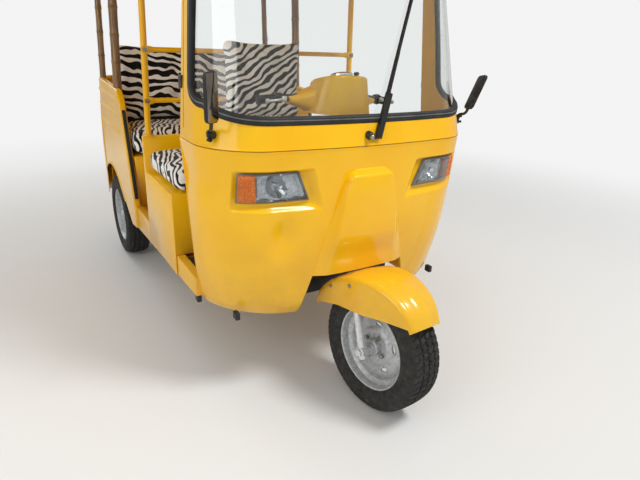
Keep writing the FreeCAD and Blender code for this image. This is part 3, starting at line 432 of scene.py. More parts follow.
YELLOW = gloss_paint("two_pack_yellow_enamel", "F6B800", "FBC20A", "A98E5A")
YELLOW_FRAME = gloss_paint("yellow_enamel_on_tube", "F0B000", "F8BC0A", "B49A5E", 0.3)
ROOF_SKIN = gloss_paint("yellow_gelcoat_roof", "EEAF00", "F6BA0A", "B49A5E", 0.38)
SEAL = moulded("extruded_epdm_rubber", "141414", "262626", 0.6)
# Dark yellow-brown strips along the panel joints: painted shade in their grooves.
SEAM_SHADE = moulded("painted_shade_in_seams", "8A6610", "A87E18", 0.5)
# Grey: the lamps' housing rims, and a painted highlight along the windscreen seal.
GREY_HOUSING_AND_SEAL_HIGHLIGHT = moulded("greyed_pvc_strip", "5E6061", "7C7E7E", 0.4)
BLACK = moulded("moulded_black_abs", "101010", "1E1E1E", 0.42)
MAT = moulded("ribbed_rubber_mat", "2A211B", "3B3128", 0.75, 3.0)
CHASSIS = metal("black_chassis_enamel", "121212", "262422", 0.5, 30.0, 0.0)
ENGINE = metal("sand_cast_aluminium", "6C6C6A", "8D8D8A", 0.55, 6.0, 1.0, 0.3)
SILVER = metal("silver_painted_steel", "A3A5A6", "CDCFD0", 0.4, 14.0, 0.35)
FORK_ALLOY = metal("die_cast_aluminium", "CACCCE", "F0F1F2", 0.3, 9.0, 0.6)
ZINC = metal("zinc_plated_steel", "8A8A84", "B6B5AE", 0.3, 5.0)
CHROME = metal("chrome_plate", "C9CACB", "E4E5E6", 0.08, 60.0, 1.0, 0.0)
REFLECTOR = metal("metallised_reflector", "8A8E92", "C6CACE", 0.1, 26.0, 1.0, 0.5)
MIRROR_GLASS = metal("mirror_glass", "847C70", "948C80", 0.05, 80.0, 1.0, 0.0)
GLASS = clear("laminated_windscreen_glass", "F4F8F7")
LENS = clear("clear_polycarbonate_lens", "F2F5F6", 0.02, 1.58)
# The last colour of each tinted lens below is a painted highlight in prism-sized cells.
AMBER = clear("amber_acrylic_lens", "F8760F", 0.08, 1.49, 0.5, "FFB850")
RED_LENS = clear("red_acrylic_lens", "C4140C", 0.08, 1.49, 0.5, "F04030")
ZEBRA = zebra_plush("printed_short_pile_plush", (1.0, -0.45, 0.4), 27.0)
ZEBRA_BACK = zebra_plush("printed_plush_of_the_bench_back", (0.22, 0.0, 1.0), 44.0)
ZEBRA_DRIVER = zebra_plush("printed_plush_of_the_driver_back", (-0.6, 0.0, 1.0), 32.0)
BAMBOO = bamboo_skin()
TYRE = tyre_rubber()


# The cab's surface


def eased(s, p, q, m, n):
    """From p to q over a step, with the slopes m and n at its ends."""
    return ((2 * s ** 3 - 3 * s ** 2 + 1) * p + (s ** 3 - 2 * s ** 2 + s) * m
            + (-2 * s ** 3 + 3 * s ** 2) * q + (s ** 3 - s ** 2) * n)


def section_at(rows, z):
    """The section's front y, half width, corner radius and rear y at a height, blended smoothly."""
    rows_z = [row[0] for row in rows]
    z = min(max(z, rows_z[0]), rows_z[-1])
    i = max(k for k in range(len(rows) - 1) if rows_z[k] <= z)
    low, high = rows[i], rows[i + 1]
    span = high[0] - low[0]
    s = (z - low[0]) / span

    def slope(k, column):
        a = rows[max(k - 1, 0)]
        b = rows[min(k + 1, len(rows) - 1)]
        return (b[column] - a[column]) / (b[0] - a[0])

    values = []
    for column in range(1, 5):
        m, n = slope(i, column) * span, slope(i + 1, column) * span
        values.append(eased(s, low[column], high[column], m, n))
    return values


def cab_point(t, z, out=0.0, rows=SHELL_SECTIONS):
    """A place on the cab: t runs from -1, the right rear edge, by 0, the middle, to 1."""
    front, half, corner, rear = section_at(rows, z)
    side = -1.0 if t < 0 else 1.0
    t = abs(t)
    flat = half - corner
    start = front + FRONT_BOW
    end = min(start + corner, rear - 10.0)
    turn_end = math.acos((start + corner - end) / corner)
    if t <= ARC_END:
        x = flat * t / ARC_END
        place = Vector((x, front + FRONT_BOW * (x / flat) ** 2, z))
        normal = Vector((2 * FRONT_BOW * x / flat ** 2, -1.0, 0)).normalized()
    elif t <= CORNER_END:
        a = (t - ARC_END) / (CORNER_END - ARC_END) * turn_end
        place = Vector((flat + corner * math.sin(a), start + corner - corner * math.cos(a), z))
        normal = Vector((math.sin(a), -math.cos(a), 0))
        ease = max(0.0, 1 - (t - ARC_END) / 0.06)
        bow = Vector((2 * FRONT_BOW / flat, -1.0, 0)).normalized()
        normal = (normal * (1 - ease) + bow * ease).normalized()
    else:
        s = (t - CORNER_END) / (1 - CORNER_END)
        x = flat + corner * math.sin(turn_end)
        place = Vector((x, end + (rear - end) * s, z))
        normal = Vector((math.sin(turn_end), -math.cos(turn_end), 0))
        if turn_end > 1.5:
            normal = Vector((1, 0, 0))
    place += normal * out
    return at(side * place.x, place.y, place.z)


def t_at_x(x, z, rows=SHELL_SECTIONS):
    """Where along the section a distance from the middle is met, on the front or the corner."""
    front, half, corner, rear = section_at(rows, z)
    flat = half - corner
    if abs(x) <= flat:
        t = ARC_END * abs(x) / flat
    else:
        end = min(front + FRONT_BOW + corner, rear - 10.0)
        turn_end = math.acos((front + FRONT_BOW + corner - end) / corner)
        a = math.asin(min(1.0, (abs(x) - flat) / corner))
        t = ARC_END + (CORNER_END - ARC_END) * min(1.0, a / turn_end)
    return math.copysign(t, x)


def t_at_y(y, z, rows=FRAME_SECTIONS):
    """Where along the section a distance from the front axle is met, on the corner or the side."""
    front, _, corner, rear = section_at(rows, z)
    start = front + FRONT_BOW
    end = min(start + corner, rear - 10.0)
    if y <= start:
        return ARC_END * math.sqrt(max(0.0, (y - front) / FRONT_BOW))
    if y <= end:
        turn_end = math.acos((start + corner - end) / corner)
        return ARC_END + (CORNER_END - ARC_END) * math.acos((start + corner - y) / corner) / turn_end
    return CORNER_END + (1 - CORNER_END) * (y - end) / (rear - end)


def smooth_step(value):
    value = min(max(value, 0.0), 1.0)
    return value * value * (3 - 2 * value)


def squared_circle(angle, power):
    """A place on a round that a power below 1 fills out towards a square."""
    ca, sa = math.cos(angle), math.sin(angle)
    return math.copysign(abs(ca) ** power, ca), math.copysign(abs(sa) ** power, sa)


# Front shell

NOTCH_TOP = 540.0
NOTCH_X_TOP = 212.0
NOTCH_X_LOW = 262.0
FLARE_Z = 600.0            # below it the shell's rows follow its lower edge
# Dents: x, height, half width, half height, depth
DENTS = (
    (-335.0, 700.0, 80.0, 100.0, 18.0),
    (-470.0, 610.0, 110.0, 60.0, 8.0),
    (-572.0, 900.0, 50.0, 95.0, 9.0),
)
# The lamp's recess, measured across and up: inner low, inner top, outer top, outer low
RECESS = ((186.0, 798.0), (228.0, 953.0), (510.0, 953.0), (518.0, 808.0))
RECESS_DEPTH = 20.0
LENS_CORNERS = ((248.0, 843.0), (289.0, 939.0), (493.0, 936.0), (497.0, 843.0))


def shell_bottom(x):
    """The height of the shell's lower edge, which is cut out over the wheel."""
    x = abs(x)
    if x <= NOTCH_X_TOP:
        return NOTCH_TOP
    if x >= NOTCH_X_LOW:
        return SHELL_LOW
    s = (x - NOTCH_X_TOP) / (NOTCH_X_LOW - NOTCH_X_TOP)
    return NOTCH_TOP + (SHELL_LOW - NOTCH_TOP) * s


def edge_x(low, high, z):
    return low[0] + (high[0] - low[0]) * (z - low[1]) / (high[1] - low[1])


def recess_depth(x, z):
    """How deep the surface lies under the body's line at a lamp, with rounded corners."""
    x = abs(x)
    inner = edge_x(RECESS[0], RECESS[1], z)
    outer = edge_x(RECESS[3], RECESS[2], z)
    floor_z = RECESS[0][1] + (RECESS[3][1] - RECESS[0][1]) * (x - RECESS[0][0]) / 320.0
    ramps = ((x - inner) / 40.0, (outer - x) / 16.0, (RECESS[1][1] - z) / 14.0, (z - floor_z) / 32.0)
    if min(ramps) <= 0:
        return 0.0
    joint = sum(ramp ** -0.8 for ramp in ramps) ** -1.25
    return RECESS_DEPTH * smooth_step(joint * 2.2)


def in_lens(x, z, shrink):
    low_in, top_in, top_out, low_out = LENS_CORNERS
    return (edge_x(low_in, top_in, z) + shrink < abs(x) < edge_x(low_out, top_out, z) - shrink
            and low_in[1] + shrink < z < top_in[1] - shrink)


def dent_depth(x, z):
    depth = 0.0
    for dx, dz, wide, high, deep in DENTS:
        r = ((x - dx) / wide) ** 2 + ((z - dz) / high) ** 2
        depth += deep * math.exp(-2.2 * r)
    return depth


def bottom_at(t):
    """The height at which a line along the shell meets its lower edge."""
    low, high = SHELL_LOW, NOTCH_TOP
    for _ in range(22):
        z = (low + high) / 2
        if shell_bottom(cab_point(t, z).x / MM) > z:
            low = z
        else:
            high = z
    return (low + high) / 2


def shell_columns():
    """Positions along the section, close together where the lamps are."""
    fine_from, fine_to = t_at_x(190, 880), t_at_x(522, 880)
    half = [0.0]
    while half[-1] < 1.0:
        step = 0.0035 if fine_from < half[-1] < fine_to else 0.0085
        half.append(min(1.0, half[-1] + step))
    for x, z in ((NOTCH_X_TOP, NOTCH_TOP), (NOTCH_X_LOW, SHELL_LOW)):
        exact = t_at_x(x, z)
        nearest = min(range(len(half)), key=lambda k: abs(half[k] - exact))
        half[nearest] = exact
    return [-t for t in reversed(half[1:])] + half


def front_shell():
    columns = shell_columns()
    levels = [SHELL_LOW + 10.5 * k for k in range(41)]
    levels += [798.0 + 3.0 * k for k in range(1, 53)]
    levels += [954.0 + 7.0 * k for k in range(1, 10)]
    levels = [z for z in levels if z < BELT_Z - 2] + [BELT_Z - 1.5]
    lip = ((-17.0, 1.0), (-10.0, -4.0), (-4.0, -4.0))
    bottoms = {t: bottom_at(t) for t in columns}

    def point(t, level):
        bottom = bottoms[t]
        if level < 0:
            out, rise = lip[level + 3]
            return cab_point(t, bottom + rise, out)
        z = levels[level]
        if z < FLARE_Z:
            z = bottom + (FLARE_Z - bottom) * (z - SHELL_LOW) / (FLARE_Z - SHELL_LOW)
        place = cab_point(t, z)
        x = place.x / MM
        out = -dent_depth(x, z)
        if 780 < z < 960:
            out -= recess_depth(x, z)
        return cab_point(t, z, out)

    def keep(t, level):
        if level < 0:
            return True
        z = levels[level]
        return not in_lens(cab_point(t, z).x / MM, z, -1.0)

    piece = sheet_of("front_shell_panel", point, columns, range(-3, len(levels)), keep=keep)
    modify(piece, "SOLIDIFY", thickness=3.5 * MM, offset=-1.0)
    tidy_mesh(piece, 0.00001, 40)
    return dress(piece, YELLOW, replaces=("front_shell",))


def belt_lip():
    """The rolled joint between the shell and the windscreen frame."""
    columns = shell_columns()[::2]
    profile = ((-9, -9), (0.6, -9), (1.4, -2.5), (-1.5, -0.8), (-1.5, 0.8), (1.4, 2.5), (0.6, 9), (-9, 9))

    def point(t, k):
        out, rise = profile[k]
        return cab_point(t, BELT_Z + rise, out, SHELL_SECTIONS if rise < 0 else FRAME_SECTIONS)

    piece = sheet_of("belt_joint", point, columns, range(len(profile)), round_v=True)
    tidy_mesh(piece, smooth=50)
    dress(piece, YELLOW)
    # A dark strip in the joint's groove: painted shade.
    line = ((-3.0, -0.9), (0.2, -0.9), (0.2, 0.9), (-3.0, 0.9))

    def line_point(t, k):
        out, rise = line[k]
        return cab_point(t, BELT_Z + rise, out, SHELL_SECTIONS if rise < 0 else FRAME_SECTIONS)

    seam_shade = sheet_of("belt_seam_shade", line_point, columns, range(len(line)), round_v=True)
    tidy_mesh(seam_shade)
    dress(seam_shade, SEAM_SHADE)


def inner_lining():
    """The cab's inner skin, which gives the shell's wall its real thickness at the door."""
    columns = shell_columns()[::3]
    levels = [430 + 590 * k / 40.0 for k in range(41)]

    def point(t, z):
        return cab_point(t, z, -SHELL_WALL)

    def keep(t, z):
        x = abs(cab_point(t, z).x / MM)
        lamp = 180 < x < 530 and 780 < z < 970
        arch = x < 285 and z < 590
        return not (lamp or arch)

    piece = sheet_of("shell_inner_skin", point, columns, levels, keep=keep)
    modify(piece, "SOLIDIFY", thickness=3.0 * MM, offset=1.0)
    tidy_mesh(piece)
    return dress(piece, YELLOW_FRAME)


def door_edge(side, rows, low, high, name, wall):
    """The closed rear edge of the cab's side, between outer and inner skins."""
    levels = [low + (high - low) * k / 60.0 for k in range(61)]
    profile = ((-3.5, -2), (0.8, -1), (0.8, 3), (-4, 6),
               (-wall + 4, 6), (-wall, 2), (-wall, -4), (-wall + 4, -4))

    def point(k, z):
        out, back = profile[k]
        spot = cab_point(side, z, out, rows)
        return spot + Vector((0, back * MM, 0))

    piece = sheet_of(name, point, range(len(profile)), levels, round_u=True)
    tidy_mesh(piece, smooth=45)
    return dress(piece, YELLOW)


APRON_LOW = 533.0
APRON_TOP = 941.0
APRON_RISE = 16.0
APRON_SWELL = 15.0         # how much further the panel stands out above the wheel's room


def apron_half(z):
    """Half the apron's width, wide at its foot and rounded at its top."""
    if z < 895:
        return 106.0 + (895.0 - z) * (224.0 - 106.0) / (895.0 - APRON_LOW)
    return 46.0 + 60.0 * math.sqrt(max(0.0, 1 - ((z - 895.0) / (APRON_TOP - 895.0)) ** 2))


def apron():
    """The raised middle panel: soft flanks, wider towards its foot, and a slight crown."""
    rows = [APRON_LOW + (APRON_TOP - APRON_LOW) * (1 - (1 - k / 70.0) ** 1.3) for k in range(71)]
    across = [-1.06 + 2.12 * k / 110.0 for k in range(111)]

    def point(u, z):
        s = min(abs(u), 1.0)
        half = apron_half(z)
        edge = (1 - s) * half
        top = APRON_TOP - z
        flank = 18.0 + 56.0 * smooth_step((880.0 - z) / 330.0)
        above_wheel = smooth_step((z - 585.0) / 110.0)
        rise = APRON_RISE + APRON_SWELL * above_wheel
        rise *= smooth_step((edge + 5) / flank) * smooth_step((top + 3) / 30.0)
        crown = 8.0 * (1 - s * s) * smooth_step(top / 90.0) * above_wheel
        beyond = -8.0 if abs(u) > 1.0 else 0.0
        x = math.copysign(s * half, u)
        return cab_point(t_at_x(x, z), z, 0.6 + rise + crown + beyond)

    piece = sheet_of("front_apron", point, across, rows)
    modify(piece, "SOLIDIFY", thickness=3.0 * MM, offset=-1.0)
    tidy_mesh(piece, smooth=50)
    return dress(piece, YELLOW, replaces=("apron",))


PILLAR_CLIP_Z = 1213.0


def pillar_trim(side):
    """A dark strip down the pillar, painted shade of its seam, and the black clip on its rear edge."""
    levels = [1060.0 + 660.0 * k / 60.0 for k in range(61)]
    profile = ((-2.0, -1.6), (0.5, -1.6), (0.5, 1.6), (-2.0, 1.6))
    name = "right" if side < 0 else "left"

    def point(k, z):
        out, back = profile[k]
        return cab_point(side * 0.93, z, out, FRAME_SECTIONS) + Vector((0, back * MM, 0))

    seam = sheet_of("pillar_seam_" + name, point, range(len(profile)), levels, round_u=True)
    tidy_mesh(seam)
    dress(seam, SEAM_SHADE)
    z = PILLAR_CLIP_Z
    x = cab_point(side, z, 0.0, FRAME_SECTIONS).x / MM
    y = cab_point(side, z, 0.0, FRAME_SECTIONS).y / MM + ORIGIN_Y
    made = []
    for low, high in (((-14, -24, -22), (6, 11, 22)), ((-10, 6, -28), (3, 16, 28))):
        x0, x1 = sorted((x + side * low[0], x + side * high[0]))
        made.append(block("clip", (x0, y + low[1], z + low[2]), (x1, y + high[1], z + high[2]), 3.0))
    clip = joined("pillar_clip_" + name, made)
    tidy_mesh(clip)
    dress(clip, BLACK)


# Windscreen

WINDOW_LOW = 1106.0
WINDOW_SIDE_Z = 1150.0
WINDOW_SIDE = 434.0
WINDOW_SIDE_TOP = 470.0
WINDOW_TOP = 1700.0


def window_outline(inset=0.0, steps=(36, 12, 26, 12, 36)):
    """The window's edge on the right half, as (t, z) pairs from the middle below to the middle above."""
    low = WINDOW_LOW + inset
    side = WINDOW_SIDE - inset
    side_top = WINDOW_SIDE_TOP - inset
    top = WINDOW_TOP - inset
    side_z = WINDOW_SIDE_Z + inset
    corner_t = t_at_y(330.0, side_z)
    places = []
    for k in range(steps[0]):
        t = corner_t * k / steps[0]
        y = cab_point(t, low, rows=FRAME_SECTIONS).y / MM + ORIGIN_Y
        z = low + (side_z - low) * smooth_step((y - 165.0) / (330.0 - 165.0) * 0.8)
        places.append((t, z))
    for k in range(steps[1]):
        a = math.pi / 2 * k / steps[1]
        y = 330.0 + (side - 330.0) * math.sin(a)
        z = side_z + 74.0 * (1 - math.cos(a))
        places.append((t_at_y(y, z), z))
    for k in range(steps[2]):
        s = k / steps[2]
        z = side_z + 74.0 + (top - 60.0 - side_z - 74.0) * s
        places.append((t_at_y(side + (side_top - side) * s, z), z))
    for k in range(steps[3]):
        a = math.pi / 2 * k / steps[3]
        y = side_top - 60.0 * (1 - math.cos(a))
        z = top - 60.0 + 60.0 * math.sin(a)
        places.append((t_at_y(y, z), z))
    last_t = t_at_y(side_top - 60.0, top)
    for k in range(steps[4] + 1):
        places.append((last_t * (1 - k / steps[4]), top))
    return places


def whole_loop(half):
    """The right half's loop with its mirror, all the way round."""
    return [(-t, z) for t, z in half] + [(t, z) for t, z in reversed(half[1:-1])]


def frame_border(count_low, count_side, count_top):
    low = [(k / count_low, BELT_Z + 1.5) for k in range(count_low)]
    side = [(1.0, BELT_Z + (FRAME_TOP_Z - BELT_Z) * k / count_side) for k in range(count_side)]
    top = [(1.0 - k / count_top, FRAME_TOP_Z) for k in range(count_top + 1)]
    return low + side + top


def windscreen_frame():
    inner = window_outline()
    border = frame_border(42, 38, 42)
    rings = 14
    loops = []
    for j in range(rings + 1):
        s = j / rings
        half = [(a[0] + (b[0] - a[0]) * s, a[1] + (b[1] - a[1]) * s) for a, b in zip(inner, border)]
        loops.append(whole_loop(half))
    count = len(loops[0])

    def point(k, j):
        t, z = loops[j][k]
        return cab_point(t, z, 0.0, FRAME_SECTIONS)

    piece = sheet_of("windscreen_surround", point, range(count), range(rings + 1), round_u=True)
    tidy_mesh(piece)
    modify(piece, "SOLIDIFY", thickness=FRAME_WALL * 0.75 * MM, offset=-1.0)
    modify(piece, "BEVEL", width=2.0 * MM, segments=2, limit_method="ANGLE", angle_limit=math.radians(50))
    tidy_mesh(piece, smooth=40)
    return dress(piece, YELLOW, replaces=("windscreen_frame",))


def along_window(name, profile, inset, smooth=50.0):
    """A strip that follows the window's edge: profile pairs are (inwards, out)."""
    loop = whole_loop(window_outline(inset))
    count = len(loop)
    centre = at(0, 250, 1400)

    def point(k, i):
        t, z = loop[k]
        here = cab_point(t, z, 0.0, FRAME_SECTIONS)
        ahead = cab_point(*loop[(k + 1) % count], 0.0, FRAME_SECTIONS)
        behind = cab_point(*loop[k - 1], 0.0, FRAME_SECTIONS)
        out = (cab_point(t, z, 5.0, FRAME_SECTIONS) - here).normalized()
        along = (ahead - behind).normalized()
        across = out.cross(along).normalized()
        if across.dot(centre - here) < 0:
            across = -across
        w, h = profile[i]
        return here + (across * w + out * h) * MM

    piece = sheet_of(name, point, range(count), range(len(profile)), round_u=True, round_v=True)
    tidy_mesh(piece, smooth=smooth)
    return piece


def windscreen_seal():
    band = ((-7, -1), (-7, 1.5), (-3, 4.5), (4, 5.5), (8, 3.5), (9, 3.5), (13, 5), (18, 4), (21, 1), (22, -8),
            (22, -18), (-4, -18))
    piece = along_window("windscreen_rubber", band, 0.0)
    dress(piece, SEAL, replaces=("windscreen_seal",))
    # A grey band laid along the black seal is a painted highlight where light runs along the rubber.
    strip = ((8.0, 2.0), (8.6, 5.4), (10.5, 6.2), (12.4, 5.8), (13.0, 2.0))
    painted_highlight = along_window("seal_painted_highlight_strip", strip, 0.0)
    dress(painted_highlight, GREY_HOUSING_AND_SEAL_HIGHLIGHT)


def windscreen_glass():
    """Laminated glass, bent as the cab's front is."""
    inner = window_outline(14.0)
    side = [place for place in inner if place[1] > WINDOW_SIDE_Z + 40]

    def side_t(z):
        return min(side, key=lambda place: abs(place[1] - z))[0]

    def point(u, v):
        t = u * side_t(min(max(WINDOW_LOW + 590 * v, 1215.0), 1620.0))
        low = min(inner[:48], key=lambda place: abs(place[0] - abs(t)))[1] if abs(t) < 0.75 else 1180.0
        z = low + (1686.0 - low) * v
        return cab_point(t, z, -10.0, FRAME_SECTIONS)

    us = [-1 + k / 26.0 for k in range(53)]
    vs = [k / 24.0 for k in range(25)]
    piece = sheet_of("windscreen_pane", point, us, vs)
    modify(piece, "SOLIDIFY", thickness=5.0 * MM, offset=-1.0)
    tidy_mesh(piece)
    return dress(piece, GLASS, replaces=("windscreen_glass",))


# Headlamps


def lens_place(a, b, out, shrink=0.0):
    """A place on the right lamp: a across from its inner edge, b up from its lower edge."""
    low_in, top_in, top_out, low_out = LENS_CORNERS
    z = low_in[1] + shrink + (top_in[1] - low_in[1] - 2 * shrink) * b
    x0 = edge_x(low_in, top_in, z) + shrink
    x1 = edge_x(low_out, top_out, z) - shrink
    x = x0 + (x1 - x0) * a
    return cab_point(-t_at_x(x, z), z, out)


def lens_part(name, a0, a1, material, replaces=(), facets=0.0):
    """A part of the lens with a skirt that goes back into the lamp."""
    steps = 40
    us = [-1] + list(range(steps + 1)) + [steps + 1]
    vs = [-1] + list(range(25)) + [25]

    def point(i, j):
        a = a0 + (a1 - a0) * min(max(i, 0), steps) / steps
        b = min(max(j, 0), 24) / 24.0
        skirt = i < 0 or i > steps or j < 0 or j > 24
        edge = min(min(b, 1 - b) * 94.0, 12.0) / 12.0
        flute = 0.7 * math.cos(a * 2 * math.pi * 16) * smooth_step(edge)
        flute += facets * abs(math.sin(a * math.pi * 22)) * abs(math.sin(b * math.pi * 5)) * smooth_step(edge)
        out = -30.0 if skirt else -9.0 + 4.0 * math.sqrt(max(0.0, 1 - (1 - edge) ** 2)) + flute
        return lens_place(a, b, out, 2.0)

    piece = sheet_of(name, point, us, vs)
    modify(piece, "SOLIDIFY", thickness=2.5 * MM, offset=-1.0)
    tidy_mesh(piece, smooth=40)
    return dress(piece, material, replaces=replaces)


def lamp_reflector(name):
    """The metallised bowl and its faceted side fields."""
    bowl_a, bowl_b = 0.42, 0.5

    def point(i, j):
        a = i / 48.0
        b = j / 30.0
        dx = (a - bowl_a) * 245.0
        dz = (b - bowl_b) * 92.0
        r = math.hypot(dx, dz)
        out = -30.0
        if r < 44.0:
            out -= 34.0 * (1 - (r / 44.0) ** 2)
        else:
            edge = min(a, 1 - a, (b * 92.0) / 245.0, ((1 - b) * 92.0) / 245.0) * 245.0
            out -= 4.5 * (1 - abs(math.sin(a * 12.0))) * smooth_step(edge / 14.0)
        return lens_place(a, b, out, 1.0)

    piece = sheet_of(name, point, range(49), range(31))
    modify(piece, "SOLIDIFY", thickness=2.0 * MM, offset=-1.0)
    tidy_mesh(piece, smooth=25)
    return dress(piece, REFLECTOR)


def lamp_gasket(name):
    """The lamp's grey housing rim between lens and body."""
    corners = ((0, 0), (1, 0), (1, 1), (0, 1))
    path = []
    for (a0, b0), (a1, b1) in zip(corners, corners[1:] + corners[:1]):
        for k in range(20):
            path.append((a0 + (a1 - a0) * k / 20.0, b0 + (b1 - b0) * k / 20.0))
    profile = ((1.5, -7.0), (-2.0, -8.0), (-6.0, -14.0), (-6.0, -34.0), (3.0, -36.0))

    def point(k, i):
        a, b = path[k]
        grow, out = profile[i]
        return lens_place(a, b, out, grow)

    piece = sheet_of(name, point, range(len(path)), range(len(profile)), round_u=True, round_v=True)
    tidy_mesh(piece, smooth=50)
    return dress(piece, GREY_HOUSING_AND_SEAL_HIGHLIGHT)


def headlamps():
    made = [
        lens_part("headlamp_lens_right", 0.0, 0.765, LENS, ("headlamp_right",)),
        lens_part("indicator_lens_right", 0.775, 1.0, AMBER, facets=3.0),
        lamp_reflector("headlamp_reflector_right"),
        lamp_gasket("headlamp_gasket_right"),
    ]
    bulb = bar("headlamp_bulb_right", (-352, 200, 892), (-346, 176, 892), 9.0, 24, 3.0)
    made.append(dress(bulb, CHROME))
    for piece in made:
        twin = mirror_of(piece, piece.name.replace("right", "left"))
        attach(twin, "body")
        if "headlamp_lens" in twin.name:
            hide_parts("headlamp_left")


# Wheels

TYRE_R = 254.0
TREAD_BLOCKS = 58


def wheel_frame(name):
    """The wheel's middle in millimetres and its axis, from the joint it turns on."""
    joint = JOINTS[name]
    x, y, z = (c / MM for c in joint["pos_m"])
    return (x, y + ORIGIN_Y, z), Vector(joint["axis"]).normalized()


def tread_cut(angle, across):
    """How deep the tread's grooves are at a place round and across the tyre."""
    blocks = angle * TREAD_BLOCKS / (2 * math.pi)
    zigzag = 3.0 * (2 * abs(blocks % 1.0 - 0.5) - 0.5) * 2
    depth = 0.0
    for centre in (-30.0, 0.0, 30.0):
        if abs(across - centre - zigzag) < 2.8:
            depth = 6.5
    lane = 0 if abs(across) < 30 else 1
    turn = (blocks + 0.5 * lane + across / 60.0) % 1.0
    if turn < 0.2 and abs(across) > 4:
        depth = max(depth, 5.0)
    return depth


def tyre(name, joint, body, node):
    """A block-tread tyre with ringed sidewalls."""
    place, axis = wheel_frame(joint)
    side = [(-60, 166), (-63, 170), (-68, 178), (-70.5, 188), (-70.8, 198), (-71, 199), (-71, 201),
            (-70.6, 202), (-70.8, 212), (-69.5, 224), (-70, 225), (-69, 229), (-67.5, 230), (-65, 240),
            (-62, 247)]
    tread = [-60 + 120 * k / 52.0 for k in range(53)]
    outline = side + [(x, None) for x in tread] + [(-x, r) for x, r in reversed(side)]
    turn = axis.to_track_quat("X", "Z").to_matrix()
    origin = at(*place)
    rounds = TREAD_BLOCKS * 8

    def point(i, k):
        u = 2 * math.pi * i / rounds
        x, r = outline[k]
        if r is None:
            r = TYRE_R - 6.0 * (abs(x) / 62.0) ** 3 - tread_cut(u, x)
        elif r > 236:
            lug = (u * TREAD_BLOCKS / (2 * math.pi) + 0.5 + x / 60.0) % 1.0
            r -= 3.5 if lug < 0.2 else 0.0
        return origin + turn @ Vector((x, r * math.cos(u), r * math.sin(u))) * MM

    piece = sheet_of(name, point, range(rounds), range(len(outline)), round_u=True)
    tidy_mesh(piece, smooth=30)
    return dress(piece, TYRE, body, (node,))


RIM_SLOTS = 5


def rim(name, joint, body, node, flip):
    """A pressed steel wheel: stepped barrel, dished disc with lipped oval slots, bolts and hub cap."""
    place, axis = wheel_frame(joint)
    if flip:
        axis = -axis
    barrel = [(-60, 169), (-60, 166), (-57, 161), (-50, 158), (-30, 156), (-24, 150), (-20, 140), (-10, 134),
              (10, 134), (24, 144), (30, 156), (50, 158), (57, 161), (60, 166), (60, 169), (55, 169),
              (52, 164), (-52, 164), (-55, 169), (-60, 169)]
    disc = [(-6, 136), (-12, 128), (-17, 120), (-19, 112), (-19, 84), (-23, 78), (-28, 70), (-29, 64),
            (-26, 56), (-26, 34), (-20, 34), (-20, 54), (-22, 66), (-16, 78), (-13, 84), (-13, 112),
            (-9, 122), (0, 134), (-6, 136)]
    made = [turned(name + "_barrel", barrel, place, axis, 128)]
    plate = turned(name + "_disc", disc, place, axis, 128)
    turn = axis.to_track_quat("X", "Z").to_matrix()
    cutters = []
    lips = []
    for k in range(RIM_SLOTS):
        a = math.pi / 2 + 2 * math.pi * k / RIM_SLOTS
        middle = Vector((-15, 97 * math.cos(a), 97 * math.sin(a)))
        outwards = Vector((0, math.cos(a), math.sin(a)))
        along = Vector((0, -math.sin(a), math.cos(a)))

        def slot_point(u, row, middle=middle, outwards=outwards, along=along):
            depth, grow, wide = row
            spot = middle + Vector((depth, 0, 0))
            spot += (along * (19 + grow) * math.cos(u) + outwards * (8.5 + grow) * math.sin(u)) * wide
            return at(*place) + turn @ spot * MM

        ring = [2 * math.pi * n / 32 for n in range(32)]
        rows = ((-40, 0, 0), (-40, 0, 1), (40, 0, 1), (40, 0, 0))
        cutter = sheet_of("cutter", slot_point, ring, rows, round_u=True)
        tidy_mesh(cutter)
        cutters.append(cutter)
        lip = ((-3.5, 4.5, 1), (-6.5, 3.0, 1), (-8.0, 1.0, 1), (-7.0, -0.5, 1), (0.0, -0.5, 1), (-1.0, 4.5, 1))
        lips.append(sheet_of("slot_lip", slot_point, ring, lip, round_u=True, round_v=True))
    tool = joined("cutter", cutters)
    modify(plate, "BOOLEAN", operation="DIFFERENCE", object=tool, solver="EXACT")
    bpy.data.objects.remove(tool)
    made.append(plate)
    made += lips
    hub = [(-20, 36), (-46, 34), (-50, 30), (-51, 22), (-56, 20), (-58, 14), (-58, 0.01)]
    made.append(turned(name + "_hub", hub, place, axis, 48))
    piece = joined(name, made)
    tidy_mesh(piece, smooth=40)
    dress(piece, SILVER, body, (node,))
    nuts = []
    for k in range(4):
        a = 2 * math.pi * (k + 0.25) / 4
        spot = at(*place) + turn @ Vector((-32, 50 * math.cos(a), 50 * math.sin(a))) * MM
        bpy.ops.mesh.primitive_cylinder_add(vertices=6, radius=9.5 * MM, depth=0.016, location=spot)
        nut = bpy.context.object
        nut.rotation_mode = "QUATERNION"
        nut.rotation_quaternion = axis.to_track_quat("Z", "Y")
        settle(nut)
        modify(nut, "BEVEL", width=1.5 * MM, segments=2, limit_method="ANGLE")
        nuts.append(nut)
    bolts = joined(name + "_nuts", nuts)
    tidy_mesh(bolts)
    dress(bolts, ZINC, body)


def wheels():
    for name in ("front", "rear_right", "rear_left"):
        joint = name + "_wheel_spin"
        tyre(name + "_tyre_tread", joint, name + "_wheel", name + "_tyre")
        rim(name + "_steel_wheel", joint, name + "_wheel", name + "_rim", name == "rear_left")


# General shapes for the body


